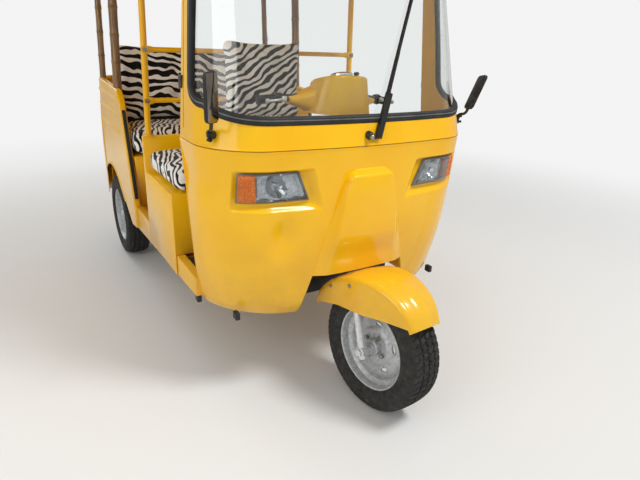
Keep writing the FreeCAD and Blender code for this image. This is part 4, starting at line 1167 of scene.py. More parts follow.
def softened(node, material, bevel=3.0, body="body", name=None):
    """A merged copy of a CAD piece with rounded edges."""
    source = NODES[node]
    piece = source.copy()
    piece.data = source.data.copy()
    piece.parent = None
    piece.name = name or node + "_rounded"
    for key in list(piece.keys()):
        del piece[key]
    bpy.context.scene.collection.objects.link(piece)
    mesh = bmesh.new()
    mesh.from_mesh(piece.data)
    bmesh.ops.remove_doubles(mesh, verts=mesh.verts, dist=0.00002)
    bmesh.ops.dissolve_limit(mesh, angle_limit=math.radians(1.5), verts=mesh.verts, edges=mesh.edges)
    mesh.to_mesh(piece.data)
    mesh.free()
    modify(piece, "BEVEL", width=bevel * MM, segments=2, limit_method="ANGLE", angle_limit=math.radians(40),
           use_clamp_overlap=True)
    tidy_mesh(piece, smooth=40)
    return dress(piece, material, body, (node,))


def swept(name, path, profile, up, closed=False, smooth=40.0):
    """A strip along places in millimetres; profile pairs are (across, up)."""
    spots = [at(*p) for p in path]
    count = len(spots)

    def point(k, i):
        ahead = spots[(k + 1) % count] if closed or k < count - 1 else spots[k]
        behind = spots[k - 1] if closed or k else spots[k]
        along = (ahead - behind).normalized()
        over = Vector(up)
        across = along.cross(over).normalized()
        over = across.cross(along).normalized()
        w, h = profile[i]
        return spots[k] + (across * w + over * h) * MM

    piece = sheet_of(name, point, range(count), range(len(profile)), round_u=closed, round_v=True)
    if not closed:
        starts = range(0, count * len(profile), count)
        close_ends(piece, (list(starts), [i + count - 1 for i in starts]))
    tidy_mesh(piece, smooth=smooth)
    return piece


def bolt_head(name, place, way, radius, height, sides=6):
    """A hexagon head on a washer, pointing along way."""
    head = bar(name, place, tuple(p + w * height for p, w in zip(place, way)), radius, sides, height * 0.2)
    washer_end = tuple(p + w * height * 0.25 for p, w in zip(place, way))
    washer = bar(name + "_washer", place, washer_end, radius * 1.5, 24)
    return joined(name, [head, washer])


def bolts_at(name, places, way, radius, height, material=None, body="body", sides=6):
    made = [bolt_head(name, place, way, radius, height, sides) for place in places]
    piece = joined(name, made)
    tidy_mesh(piece)
    return dress(piece, material or ZINC, body)


# Steering, drawn straight ahead

RAKE = math.radians(18.5)
AXLE_Z = 256.155
AXIS_TRAIL = 80.0
AXIS = Vector((0, math.sin(RAKE), math.cos(RAKE)))


def axis_place(up, x=0.0, ahead=0.0):
    """A place measured up the steering axis from axle height, and square to it."""
    y = AXIS_TRAIL + up * math.sin(RAKE) - ahead * math.cos(RAKE)
    z = AXLE_Z + up * math.cos(RAKE) + ahead * math.sin(RAKE)
    return x, y, z


def steered(piece):
    """Turns a piece drawn straight ahead to the angle at which the fork stands."""
    centre = at(0, AXIS_TRAIL, AXLE_Z)
    turn = Matrix.Rotation(math.radians(STEER_REST), 4, AXIS)
    piece.data.transform(Matrix.Translation(centre) @ turn @ Matrix.Translation(-centre))
    return piece


FENDER_Y = -20.0
FENDER_Z = 262.0
FENDER_BACK = 17.0         # the fender's ends, in degrees above level behind the wheel
FENDER_FRONT = 138.0
# Angle above level behind the wheel, half width and radius of the creases
FENDER_SECTIONS = (
    (8, 113, 312),
    (24, 115, 326),
    (40, 117, 316),
    (58, 117, 303),
    (80, 117, 296),
    (100, 105, 293),
    (115, 94, 288),
    (127, 85, 279),
    (138, 77, 267),
)
# The skirt's lower edge about the fender's centre, from the front to the rear
SKIRT = ((-246.0, 186.0), (-60.0, 166.0), (158.0, 138.0), (340.0, 82.0))


def fender_size(angle):
    """Half width and crease radius at an angle, by a smooth curve through the sections."""
    rows = FENDER_SECTIONS
    i = max(k for k in range(len(rows) - 1) if rows[k][0] <= angle)
    low, high = rows[i], rows[i + 1]
    s = (angle - low[0]) / (high[0] - low[0])
    values = []
    for column in (1, 2):
        before = rows[max(i - 1, 0)][column]
        after = rows[min(i + 2, len(rows) - 1)][column]
        p, q = low[column], high[column]
        values.append(eased(s, p, q, (q - before) / 2, (after - p) / 2))
    return values


def skirt_radius(angle):
    """How far the skirt's lower edge is from the fender's centre at an angle."""
    ca, sa = math.cos(math.radians(angle)), math.sin(math.radians(angle))
    for (y0, z0), (y1, z1) in zip(SKIRT, SKIRT[1:]):
        r = (y0 * (z1 - z0) - z0 * (y1 - y0)) / (ca * (z1 - z0) - sa * (y1 - y0))
        if y0 <= r * ca <= y1:
            return r
    return 250.0


def fender_row(angle):
    """The fender's cross profile at an angle: pairs of across and radius."""
    half, crease = fender_size(angle)
    sharp = smooth_step((angle - 62.0) / 30.0)
    across = 20.0 + 8.0 * sharp
    down = 24.0 - 4.0 * sharp
    shoulder = crease - down
    low = min(skirt_radius(angle), shoulder - 0.5)
    side = []
    for k in range(11):
        s = k / 10.0
        side.append((half + 2.0 * (1 - s), low + (shoulder - low) * s))
    for k in range(1, 9):
        b = math.pi / 2 * k / 8.0
        side.append((half - across * (1 - math.cos(b)), shoulder + down * math.sin(b)))
    top = []
    flat = half - across
    for k in range(1, 21):
        x = flat * (1 - k / 20.0)
        ridge = 2.0 * smooth_step((flat * 0.55 - x) / 16.0) * sharp
        top.append((x, crease + 7.0 * (1 - (x / flat) ** 2) + ridge))
    right = side + top
    return right + [(-x, r) for x, r in reversed(right[:-1])]


def front_fender():
    count = len(fender_row(90.0))
    angles = [FENDER_BACK + (FENDER_FRONT - FENDER_BACK) * k / 62.0 for k in range(63)]

    def point(i, j):
        x, r = fender_row(angles[j])[i]
        a = math.radians(angles[j])
        return at(x, FENDER_Y + r * math.cos(a), FENDER_Z + r * math.sin(a))

    piece = sheet_of("front_mudguard", point, range(count), range(len(angles)))
    modify(piece, "SOLIDIFY", thickness=3.0 * MM, offset=-1.0)
    modify(piece, "BEVEL", width=1.0 * MM, segments=2, limit_method="ANGLE", angle_limit=math.radians(60))
    tidy_mesh(piece, smooth=40)
    steered(piece)
    dress(piece, YELLOW, "steering", ("front_fender",))
    rivets = []
    for y, z in ((189.0, 460.0), (81.0, 505.0)):
        for side in (-1, 1):
            rivets.append(bar("rivet", (side * 114, y, z), (side * 122, y, z), 7.5, 24, 2.5))
    heads = joined("mudguard_screws", rivets)
    dress(steered(heads), ZINC, "steering")


def fork():
    """Telescopic legs with axle lugs, crown, column and wheel spindle."""
    crown = 266.0
    made = []
    for x in (-93.5, 93.5):
        low = (x, -30 * math.sin(RAKE), AXLE_Z - 30 * math.cos(RAKE))
        mid = (x, 170 * math.sin(RAKE), AXLE_Z + 170 * math.cos(RAKE))
        high = (x, crown * math.sin(RAKE), AXLE_Z + crown * math.cos(RAKE))
        made.append(bar("slider", low, mid, 17.0, 40, 3.0))
        made.append(bar("stanchion", mid, high, 13.5, 40))
        ring_foot, ring_top = (x, mid[1] - 3, mid[2] - 9), (x, mid[1] + 1.5, mid[2] + 5)
        made.append(bar("seal_ring", ring_foot, ring_top, 18.6, 40, 2.0))
        made.append(bar("axle_lug", (x - 15, 0, AXLE_Z), (x + 15, 0, AXLE_Z), 22.0, 40, 3.0))
    made.append(bar("axle", (-118, 0, AXLE_Z), (118, 0, AXLE_Z), 10.0, 32, 1.5))
    made.append(bar("axle_nut", (-108, 0, AXLE_Z), (-120, 0, AXLE_Z), 16.0, 6, 2.0))
    made.append(bar("axle_head", (108, 0, AXLE_Z), (118, 0, AXLE_Z), 16.0, 6, 2.0))
    made.append(bar("column", axis_place(240.0), axis_place(965.0), 16.0, 40, 2.0))
    plate = block("crown", (-107, -22, -9), (107, 22, 9), 5.0)
    tongue = block("tongue", (-30, 0, -9), (30, 100, 9), 6.0)
    for piece in (plate, tongue):
        back = Matrix.Translation(-at(0, 0, 0))
        lift = Matrix.Translation(at(0, crown * math.sin(RAKE), AXLE_Z + crown * math.cos(RAKE)))
        piece.data.transform(lift @ Matrix.Rotation(-RAKE, 4, "X") @ back)
        made.append(piece)
    piece = joined("front_fork", made)
    tidy_mesh(piece, smooth=40)
    dress(steered(piece), FORK_ALLOY, "steering", ("fork",))


def grip_outline(radius, length):
    """A ribbed rubber grip's outline with end flanges."""
    outline = [(0, 0.01), (0, radius + 2), (3, radius + 3), (6, radius)]
    s = 8.0
    while s < length - 10:
        outline += [(s, radius - 1.2), (s + 2, radius), (s + 4, radius), (s + 5, radius - 1.2)]
        s += 6.5
    outline += [(length - 8, radius), (length - 5, radius + 5), (length, radius + 5), (length, 0.01)]
    return outline


def handlebar():
    """The bar with ribbed grips, lever perches and pressed levers."""
    c = Vector(axis_place(960.0))
    made = []
    for side in (-1, 1):
        bend = c + Vector((side * 150, 18, 0))
        end = c + Vector((side * 325, 60, -22))
        made.append(tube_along("bar", [c, c + Vector((side * 80, 9, 0)), bend, end], 11.0, 24))
    piece = joined("handlebar_tube", made)
    dress(steered(piece), BLACK, "steering", ("handlebar",))
    grips = []
    levers = []
    for side in (-1, 1):
        bend = c + Vector((side * 150, 18, 0))
        end = c + Vector((side * 327, 60.5, -22.3))
        way = (bend - end).normalized()
        grips.append(turned("grip", grip_outline(16.0, 76.0), end, way, 48))
        perch = end + way * 86
        grips.append(bar("perch", perch - way * 9, perch + way * 9, 18.5, 32, 4.0))
        hinge = perch + Vector((side * 4, -30, -2))
        tip = end + Vector((side * -14, -52, 2))
        mid = (hinge + tip) / 2 + Vector((0, -10, 0))
        lever = tube_along("lever", [hinge, mid, tip - Vector((side * 10, 2, 0)), tip], 6.0, 16)
        knob = bar("lever_ball", tip - Vector((6, 0, 0)), tip + Vector((6, 0, 0)), 9.0, 24, 4.0)
        pivot = bar("pivot", perch + Vector((0, -34, -9)), perch + Vector((0, -34, 9)), 10.0, 24, 2.0)
        levers += [lever, knob, pivot]
        grips.append(bar("perch_arm", perch, perch + Vector((0, -34, 0)), 9.0, 20, 2.0))
    rubber = joined("handlebar_grips", grips)
    tidy_mesh(rubber, smooth=40)
    dress(steered(rubber), BLACK, "steering")
    metal_parts = joined("brake_levers", levers)
    tidy_mesh(metal_parts, smooth=40)
    dress(steered(metal_parts), FORK_ALLOY, "steering")


COWL_LOW = 60.0              # the bowl's rim below the bar's middle
COWL_HALF = (140.0, 112.0)   # half width at the rim and at the top
COWL_FRONT = (94.0, 86.0)
COWL_BACK = (84.0, 77.0)
COWL_TOP = (88.0, 46.0)      # the top's height in front and behind
COWL_EDGE = 15.0             # radius of the rolled edge round the top
COWL_SQUARE = 0.74           # how square the bowl's plan is: 1 is an ellipse
# Sections of the arms' flares: x, front, rear, low and high about the bar's middle
COWL_ARM = ((96, -24, 66, -59, 34), (122, -20, 65, -58, 26), (140, -16, 63, -53, 17), (156, -10, 61, -46, 10),
            (172, -2, 60, -40, 4), (188, 5, 58, -35, -1), (202, 10, 56, -31, -5), (212, 12, 55, -30, -6),
            (212, 17, 49, -25, -11), (202, 17, 49, -25, -11))


def cowl_top(y):
    """The height of the sloping top at a distance behind the bar's middle."""
    s = (y + COWL_FRONT[0]) / (COWL_FRONT[0] + COWL_BACK[0])
    return COWL_TOP[0] + (COWL_TOP[1] - COWL_TOP[0]) * s


def cowl_plan(angle, s, inset, scale=1.0):
    """A place on the bowl's rounded plan: s is 0 at the rim and 1 at the top."""
    half = COWL_HALF[0] + (COWL_HALF[1] - COWL_HALF[0]) * s - inset
    front = COWL_FRONT[0] + (COWL_FRONT[1] - COWL_FRONT[0]) * s - inset
    back = COWL_BACK[0] + (COWL_BACK[1] - COWL_BACK[0]) * s - inset
    u, v = squared_circle(angle, COWL_SQUARE)
    return half * u * scale, (back if v > 0 else front) * v * scale


def handlebar_cowl():
    """The bowl over the bar with its rolled top edge, and a flare over each arm."""
    c = Vector(axis_place(960.0))
    sides = 96
    rows = [("rim", 1.0), ("rim", 0.0)] + [("side", k / 14.0) for k in range(15)]
    rows += [("edge", k / 8.0) for k in range(1, 9)]
    rows += [("top", k / 6.0) for k in range(1, 6)] + [("top", 0.995)]

    def point(k, j):
        kind, v = rows[j]
        a = 2 * math.pi * k / sides
        if kind == "rim":
            x, y = cowl_plan(a, 0.0, 4.0)
            return at(x, c.y + y, c.z - COWL_LOW + 10.0 * v)
        if kind == "side":
            x, y = cowl_plan(a, v, 0.0)
            high = cowl_top(y) - COWL_EDGE
            return at(x, c.y + y, c.z - COWL_LOW + (high + COWL_LOW) * v)
        if kind == "edge":
            b = math.pi / 2 * v
            x, y = cowl_plan(a, 1.0, COWL_EDGE * (1 - math.cos(b)))
            return at(x, c.y + y, c.z + cowl_top(y) - COWL_EDGE * (1 - math.sin(b)))
        x, y = cowl_plan(a, 1.0, COWL_EDGE, 1 - v)
        return at(x, c.y + y, c.z + cowl_top(y))

    bowl = sheet_of("bowl", point, range(sides), range(len(rows)), round_u=True)
    flares = []
    for side in (-1, 1):

        def arm_point(k, j, side=side):
            x, y0, y1, z0, z1 = COWL_ARM[j]
            u, v = squared_circle(2 * math.pi * k / 40, 0.7)
            y = c.y + (y0 + y1) / 2 + u * (y1 - y0) / 2
            z = c.z + (z0 + z1) / 2 + v * (z1 - z0) / 2
            return at(side * x, y, z)

        flares.append(sheet_of("flare", arm_point, range(40), range(len(COWL_ARM)), round_u=True))
    piece = joined("handlebar_cover", [bowl] + flares)
    modify(piece, "SOLIDIFY", thickness=3.0 * MM, offset=-1.0)
    tidy_mesh(piece, smooth=45)
    dress(steered(piece), YELLOW, "steering", ("handlebar_cowl",))
    tilt = Vector((0, (COWL_TOP[0] - COWL_TOP[1]) / (COWL_FRONT[0] + COWL_BACK[0]), 1)).normalized()
    base = Vector((0, c.y - 20, c.z + 50))
    case = [(-4, 0.01), (-4, 38), (24, 39), (26, 42), (32, 42.5), (36, 40), (37.5, 36.5), (36, 34.5),
            (33, 34), (32, 0.01)]
    dial = turned("speedometer", case, base, tilt, 72)
    dress(steered(dial), CHROME, "steering", ("instruments",))
    dome = [(33, 0.01), (33, 33.5), (35.5, 33), (38.5, 26), (40, 14), (40.5, 0.01)]
    glass = turned("speedometer_glass", dome, base, tilt, 64)
    dress(steered(glass), LENS, "steering")
    barrel = [(-6, 0.01), (-6, 13), (5, 13), (8, 11), (9, 7), (7, 6), (7, 0.01)]
    lock = turned("ignition_lock", barrel, (-50, c.y + 36, c.z + cowl_top(36.0)), tilt, 40)
    dress(steered(lock), CHROME, "steering")
    pull = [(-6, 0.01), (-6, 5), (9, 5), (10, 10), (18, 11), (21, 8), (21, 0.01)]
    knob = turned("choke_knob", pull, (64, c.y - 30, c.z + cowl_top(-30.0)), tilt, 32)
    dress(steered(knob), BLACK, "steering")


# Mirrors and wiper


def rounded_plate(name, half, high, corner, front, back, bevel):
    """An upright plate with round corners about the origin, its edges bevelled."""
    ring = []
    for first, cx, cz in ((0, half - corner, high - corner), (90, corner - half, high - corner),
                          (180, corner - half, corner - high), (270, half - corner, corner - high)):
        for k in range(9):
            a = math.radians(first + 90 * k / 8.0)
            ring.append((cx + corner * math.cos(a), cz + corner * math.sin(a)))
    corners = [at(x, front, z) for x, z in ring] + [at(x, back, z) for x, z in ring]
    n = len(ring)
    faces = [tuple(range(n)), tuple(range(2 * n - 1, n - 1, -1))]
    faces += [(k, n + k, n + (k + 1) % n, (k + 1) % n) for k in range(n)]
    piece = from_faces(name, corners, faces)
    modify(piece, "BEVEL", width=bevel * MM, segments=3, limit_method="ANGLE", angle_limit=math.radians(60))
    tidy_mesh(piece, smooth=40)
    return piece


def mirror(name, node, foot, head, turn, lean):
    """A tall rounded case with a bezel, a glass in front, a bent stem and a ball clamp."""
    made = []
    case = rounded_plate("case", 31.0, 75.0, 15.0, -4.0, 6.0, 4.0)
    bezel = rounded_plate("bezel", 32.0, 76.0, 16.0, -7.0, -2.0, 1.5)
    made += [case, bezel]
    glass = rounded_plate(name + "_glass", 29.0, 73.0, 13.0, -8.4, -6.0, 0.6)
    back = Matrix.Translation(-at(0, 0, 0))
    place = Matrix.Translation(at(*head))
    spin = Matrix.Rotation(math.radians(lean), 4, "Y") @ Matrix.Rotation(math.radians(turn), 4, "Z")
    for piece in (case, bezel, glass):
        piece.data.transform(place @ spin @ back)
    up = Vector((math.sin(math.radians(lean)), 0, math.cos(math.radians(lean))))
    low = Vector(head) - up * 70
    f = Vector(foot)
    bend = Vector((low.x, low.y + 6, f.z + (low.z - f.z) * 0.45))
    made.append(tube_along("stem", [f, f + Vector((0, -4, 18)), bend, low], 6.0, 16))
    made.append(bar("ball", (f.x, f.y, f.z - 6), (f.x, f.y, f.z + 14), 13.0, 32, 6.0))
    side = math.copysign(1, f.x)
    inner = (f.x - side * 20, f.y + 13, f.z - 4)
    made.append(bar("clamp", inner, (f.x + side * 4, f.y - 3, f.z), 14.0, 32, 3.0))
    outwards = (side * 0.84, -0.54, 0)
    for rise in (9, -14):
        made.append(bolt_head("clamp_bolt", (f.x + side * 2, f.y - 6, f.z + rise), outwards, 6.0, 16.0))
    piece = joined(name, made)
    tidy_mesh(piece, smooth=40)
    dress(piece, BLACK, replaces=(node,))
    dress(glass, MIRROR_GLASS)


def wiper():
    """Pivot cap, sprung arm and long blade, parked upright before the glass."""
    spindle = (-15, 148, 1059)
    outwards = Vector((0, -1, -0.17)).normalized()
    facing = (0.1, -1, 0.2)
    domed = [(0, 0.01), (0, 15), (14, 15), (20, 13), (24, 8), (25, 0.01)]
    cap = turned("wiper_cap", domed, spindle, outwards, 40)
    root = Vector((20, 132, 1048))
    mid = Vector((82, 168, 1200))
    far = Vector((140, 204, 1340))
    arm_head = swept("arm_head", [root, root.lerp(mid, 0.5), mid],
                     ((-13, -6), (-12, 7), (12, 7), (13, -6)), facing)
    arm = swept("arm_rod", [mid, mid.lerp(far, 0.5), far],
                ((-4, -2.5), (-4, 2.5), (4, 2.5), (4, -2.5)), facing)
    low = Vector((62, 164, 1150))
    high = Vector((230, 264, 1540))
    points = [low.lerp(high, k / 8.0) for k in range(9)]
    spine = swept("blade_spine", points, ((-5, 0), (-4, 5), (4, 5), (5, 0)), facing)
    rubber = swept("blade_rubber", points, ((-2, -9), (-3.5, 1), (3.5, 1), (2, -9)), facing)
    link = swept("arm_link", [(-15, 134, 1056), (6, 133, 1052), (26, 132, 1062)],
                 ((-8, -5), (-8, 5), (8, 5), (8, -5)), facing)
    nut = [(24, 0.01), (24, 9), (30, 9), (33, 6), (34, 0.01)]
    button = turned("wiper_spindle_cap", nut, spindle, outwards, 32)
    dress(button, ZINC)
    piece = joined("wiper_arm_and_blade", [cap, arm_head, arm, spine, rubber, link])
    tidy_mesh(piece, smooth=40)
    dress(piece, BLACK, replaces=("wiper",))


# Driver's seat box, poles, floor


def ribbed_mat(name, half, front, depth, z, ribs, thick):
    """A rubber mat with fine ribs along the vehicle."""

    def point(u, v):
        return at(half * (2 * u - 1), front + depth * v, z + 1.2 * (int(u * ribs) % 2))

    steps = 2 * ribs
    mat = sheet_of(name, point, [k / steps for k in range(steps + 1)], [k / 6.0 for k in range(7)])
    modify(mat, "SOLIDIFY", thickness=thick * MM, offset=0.0)
    tidy_mesh(mat)
    return mat


def driver_area():
    softened("driver_seat_box", YELLOW, 9.0, name="driver_seat_box_panels")
    softened("floor_pan", YELLOW_FRAME, 2.5, name="floor_and_sills")
    softened("dashboard", BLACK, 4.0, name="dashboard_shelf")
    dress(ribbed_mat("driver_floor_mat", 535.0, 400.0, 285.0, 463.5, 134, 4.0), MAT)
    rear_mat = ribbed_mat("passenger_floor_mat", 500.0, 1160.0, 320.0, 465.5, 125, 4.5)
    dress(rear_mat, MAT, replaces=("floor_mat",))


POLE_FOOT = (560.0, 1122.0, 920.6)
POLE_HEAD = (535.0, 1122.0, 1767.2)


def pole_x(z):
    s = (z - POLE_FOOT[2]) / (POLE_HEAD[2] - POLE_FOOT[2])
    return POLE_FOOT[0] + (POLE_HEAD[0] - POLE_FOOT[0]) * s


def back_frame():
    """The poles behind the driver with two bolted rails whose ends are flattened."""
    made = []
    places = []
    for side in (-1, 1):
        foot = (side * POLE_FOOT[0], POLE_FOOT[1], POLE_FOOT[2])
        head = (side * POLE_HEAD[0], POLE_HEAD[1], POLE_HEAD[2])
        made.append(bar("pole", foot, head, 14.0, 40))
        made.append(bar("foot_plate", foot, (foot[0], foot[1], foot[2] + 6), 26.0, 40, 1.5))
    for z in (1080.0, 1300.0):
        x = pole_x(z)
        made.append(bar("rail", (-x + 42, 1122, z), (x - 42, 1122, z), 11.0, 40))
        for side in (-1, 1):
            rows = ((42, 11, 11), (30, 8, 13), (20, 4, 15), (6, 3, 16), (-4, 3, 16), (-14, 3, 11))

            def point(k, j, side=side, x=x, z=z, rows=rows):
                inward, thick, tall = rows[j]
                a = 2 * math.pi * k / 24
                back = 15 if thick < 8 else 11 * (1 - (thick - 3) / 8.0)
                y = 1122 - back + thick * math.cos(a)
                return at(side * (x - inward), y, z + tall * math.sin(a))

            made.append(sheet_of("rail_end", point, range(24), range(6), round_u=True))
            places.append((side * x, 1122 - 18.5, z))
    piece = joined("driver_back_tubes", made)
    tidy_mesh(piece, smooth=40)
    dress(piece, YELLOW_FRAME, replaces=("driver_back_frame",))
    bolts_at("rail_bolts", places, (0, -1, 0), 7.0, 7.0)


# Rear body

REAR_Y = 2400.0
SIDE_Y0 = 1455.0
SPLIT_Y = 2235.0
REAR_CORNER = 140.0
REAR_WALL = 30.0
PANEL_Y0 = 1665.0


def rear_y(z):
    """The rear panel's y at a height; it leans forward above the tail lamps' foot."""
    return REAR_Y - 110.0 * max(0.0, z - 700.0) / 430.0


def rear_x(y, z, out=0.0):
    """Half the rear body's width at a place."""
    r = REAR_CORNER + out
    start = rear_y(z) - REAR_CORNER
    if y <= start:
        return BODY_HALF + out
    return BODY_HALF - REAR_CORNER + math.sqrt(max(0.0, r * r - (y - start) ** 2))


def panel_top(y):
    """The rear body's upper edge, which rises slightly towards the rear."""
    return 1072.0 + 38.0 * (y - PANEL_Y0) / (REAR_Y + 20 - PANEL_Y0)


def side_top(y):
    if y < 1612:
        return 470.0 + (y - SIDE_Y0) * 550.0 / 157.0
    if y < PANEL_Y0:
        return 1020.0 + (y - 1612.0) * 52.0 / 53.0
    return panel_top(y)


def arch_circle():
    """Centre and radius of the wheel arch through its three places."""
    (ax, az), (bx, bz), (cx, cz) = (1790.0, 500.0), (2030.0, 590.0), (2285.0, 478.0)
    d = 2 * (ax * (bz - cz) + bx * (cz - az) + cx * (az - bz))
    aa, bb, cc = ax * ax + az * az, bx * bx + bz * bz, cx * cx + cz * cz
    ux = (aa * (bz - cz) + bb * (cz - az) + cc * (az - bz)) / d
    uz = (aa * (cx - bx) + bb * (ax - cx) + cc * (bx - ax)) / d
    return ux, uz, math.hypot(ax - ux, az - uz)


ARCH = arch_circle()


def side_low(y):
    if y < 1556:
        return 356.0 - 10.0 * (y - SIDE_Y0) / 101.0
    if y < 1790:
        return 346.0 + 154.0 * (y - 1556.0) / 234.0
    if y < 2285:
        return ARCH[1] + math.sqrt(ARCH[2] ** 2 - (y - ARCH[0]) ** 2)
    if y < 2330:
        return 478.0 - 126.0 * (y - 2285.0) / 45.0
    return 352.0


def flange_profile(sides, shift=0.0):
    """The rolled edge on the rear body: (across, up) pairs of a fat, squared tube."""
    rounds = [squared_circle(2 * math.pi * k / sides, 0.5) for k in range(sides)]
    return [(shift + 17.0 * u, 13.0 * v - 6.0) for u, v in rounds]


def bead(y, z):
    """How far the pressed horizontal ribs stand out."""
    out = 0.0
    for base in (845.0, 940.0, 1024.0):
        line = base + 14.0 * (y - 1700.0) / 520.0
        ends = smooth_step((y - 1672.0) / 18.0) * smooth_step((2216.0 - y) / 18.0)
        out += 6.5 * smooth_step(1.0 - abs(z - line) / 13.0) * ends
    return out


def rear_side(side):
    name = "right" if side < 0 else "left"
    ys = sorted({SIDE_Y0 + 780.0 * k / 60.0 for k in range(61)} | {1556.0, 1612.0, 1665.0, 1790.0})
    ss = [k / 110.0 for k in range(111)]

    def outer(y, s):
        z = side_low(y) + (side_top(y) - side_low(y)) * s
        lip = 5.0 * (1 - smooth_step((z - side_low(y)) / 14.0)) if 1700 < y < 2290 else 0.0
        return at(side * rear_x(y, z, bead(y, z) + lip), y, z)

    def inner(y, s):
        z = side_low(y) + (side_top(y) - side_low(y)) * s
        return at(side * rear_x(y, z, -REAR_WALL), y, z)

    skin = sheet_of("rear_side_outer", outer, ys, ss)
    modify(skin, "SOLIDIFY", thickness=3.0 * MM, offset=-1.0 if side > 0 else 1.0)
    lining = sheet_of("rear_side_inner", inner, ys[::2], ss[::5])
    modify(lining, "SOLIDIFY", thickness=2.0 * MM, offset=0.0)
    front = [(SIDE_Y0, 358.0)] + [(SIDE_Y0 + 157.0 * k / 12.0, 470.0 + 550.0 * k / 12.0) for k in range(12)]
    front += [(1612.0, 1020.0), (1622.0, 1036.0), (1640.0, 1054.0), (PANEL_Y0, 1070.0)]
    front += [(y, side_top(y)) for y in range(1700, 2240, 36)] + [(SPLIT_Y, side_top(SPLIT_Y))]
    path = [(side * (rear_x(y, z) - REAR_WALL / 2), y, z) for y, z in front]
    profile = flange_profile(24)
    spots = [at(*p) for p in path]
    count = len(spots)

    def edge_point(k, i):
        ahead = spots[min(k + 1, count - 1)]
        behind = spots[max(k - 1, 0)]
        along = (ahead - behind).normalized()
        across = Vector((1, 0, 0))
        over = across.cross(along).normalized()
        w, h = profile[i]
        return spots[k] + (across * w + over * h) * MM

    edge = sheet_of("edge_flange", edge_point, range(count), range(24), round_v=True)
    tidy_mesh(edge, smooth=50)
    panel = joined("rear_side_panel_" + name, [skin, lining, edge])
    tidy_mesh(panel, 0.00001, 40)
    dress(panel, YELLOW, replaces=("rear_side_" + name,))
    strip_path = [(side * (BODY_HALF - REAR_WALL / 2), y - 17, z + 5) for y, z in front[2:13]]
    strip = swept("entry_rubber_" + name, strip_path, ((-9, -5), (-9, 3), (9, 3), (9, -5)), (0, -1, 0.3))
    dress(strip, SEAL)


def rear_around(s, out, z):
    """A place round the back: s runs from -1, the right side's end, to 1, the left side's."""
    r = REAR_CORNER
    y1 = rear_y(z)
    flat = BODY_HALF - r
    side = math.copysign(1, s)
    s = abs(s)
    if s <= 0.6:
        return at(side * flat * s / 0.6, y1 + out, z)
    a = (s - 0.6) / 0.4
    if SPLIT_Y < y1 - r:
        arc = 0.85
        if a <= arc:
            b = math.pi / 2 * a / arc
            return at(side * (flat + (r + out) * math.sin(b)), y1 - r + (r + out) * math.cos(b), z)
        return at(side * (BODY_HALF + out), y1 - r - (y1 - r - SPLIT_Y - 0.3) * (a - arc) / (1 - arc), z)
    end = math.acos((SPLIT_Y + 0.3 - y1 + r) / r)
    b = end * a
    return at(side * (flat + (r + out) * math.sin(b)), y1 - r + (r + out) * math.cos(b), z)


LID_ROOM = 380.0           # half width of the opening that the lid closes
LID_ROOM_TOP = 660.0


def rear_panel():
    lid = LID_ROOM / (BODY_HALF - REAR_CORNER) * 0.6
    cols = sorted({-1 + k / 80.0 for k in range(161)} | {-lid, lid})
    levels = sorted({352.0 + 748.0 * k / 90.0 for k in range(91)} | {LID_ROOM_TOP})

    def top_scale(s, z):
        y = rear_around(s, 0.0, z).y / MM + ORIGIN_Y
        top = panel_top(min(y, 2320.0))
        return LID_ROOM_TOP + (z - LID_ROOM_TOP) * (top - LID_ROOM_TOP) / 440.0 if z > LID_ROOM_TOP else z

    def swage(s, z):
        line = abs(z - 712.0)
        wide = smooth_step((0.78 - abs(s)) / 0.03)
        field = smooth_step((940.0 - z) / 12.0) * smooth_step((z - 755.0) / 12.0)
        field *= smooth_step((0.42 - abs(s)) / 0.012)
        return 5.0 * smooth_step(1 - line / 12.0) * wide - 5.0 * field

    def outer(s, z):
        return rear_around(s, swage(s, z), top_scale(s, z))

    def keep(s, z):
        return not (-lid - 0.0001 <= s < lid - 0.0001 and z < 659.9)

    skin = sheet_of("rear_skin", outer, cols, levels, keep=keep)
    modify(skin, "SOLIDIFY", thickness=3.0 * MM, offset=-1.0)

    def inner(s, z):
        return rear_around(s, -REAR_WALL, top_scale(s, z))

    def keep_inner(s, z):
        return not (-lid - 0.01 <= s < lid and z < 652.0)

    lining = sheet_of("rear_lining", inner, cols[::2], levels[::3] + [1100.0], keep=keep_inner)
    modify(lining, "SOLIDIFY", thickness=2.0 * MM, offset=0.0)
    profile = flange_profile(20, -REAR_WALL / 2)

    def rim_point(s, i):
        out, rise = profile[i]
        spot = rear_around(s, out, top_scale(s, 1100.0))
        return spot + Vector((0, 0, rise * MM))

    edge = sheet_of("rear_top_flange", rim_point, cols, range(20), round_v=True)
    jambs = []
    for side in (-1, 1):
        x0, x1 = sorted((side * LID_ROOM, side * (LID_ROOM + 6)))
        jambs.append(block("jamb", (x0, REAR_Y - 32, 352), (x1, REAR_Y - 1, LID_ROOM_TOP), 1.0, 2))
    jambs.append(block("lintel", (-386, REAR_Y - 32, 657), (386, REAR_Y - 1, 663), 1.0, 2))
    piece = joined("rear_body_panel", [skin, lining, edge] + jambs)
    tidy_mesh(piece, 0.00001, 40)
    dress(piece, YELLOW, replaces=("rear_panel",))
    pins = []
    for x in (-250.0, 250.0):
        pins.append(bar("fixed_knuckle", (x - 60, 2409, 663), (x - 20.5, 2409, 663), 7.0, 32, 1.0))
        pins.append(block("fixed_leaf", (x - 60, 2399, 662), (x - 21, 2403, 705), 1.0, 2))
        pins.append(bar("pin", (x - 30, 2409, 663), (x + 24, 2409, 663), 3.4, 20))
    hinge = joined("lid_hinge_fixed", pins)
    tidy_mesh(hinge)
    dress(hinge, ZINC)
    y = rear_y(850)
    bosses = [bar("boss", (x, y - 2, 850), (x, y + 3.5, 850), 9.0, 32, 1.0) for x in (-90.0, 90.0)]
    dress(joined("plate_bosses", bosses), BLACK)


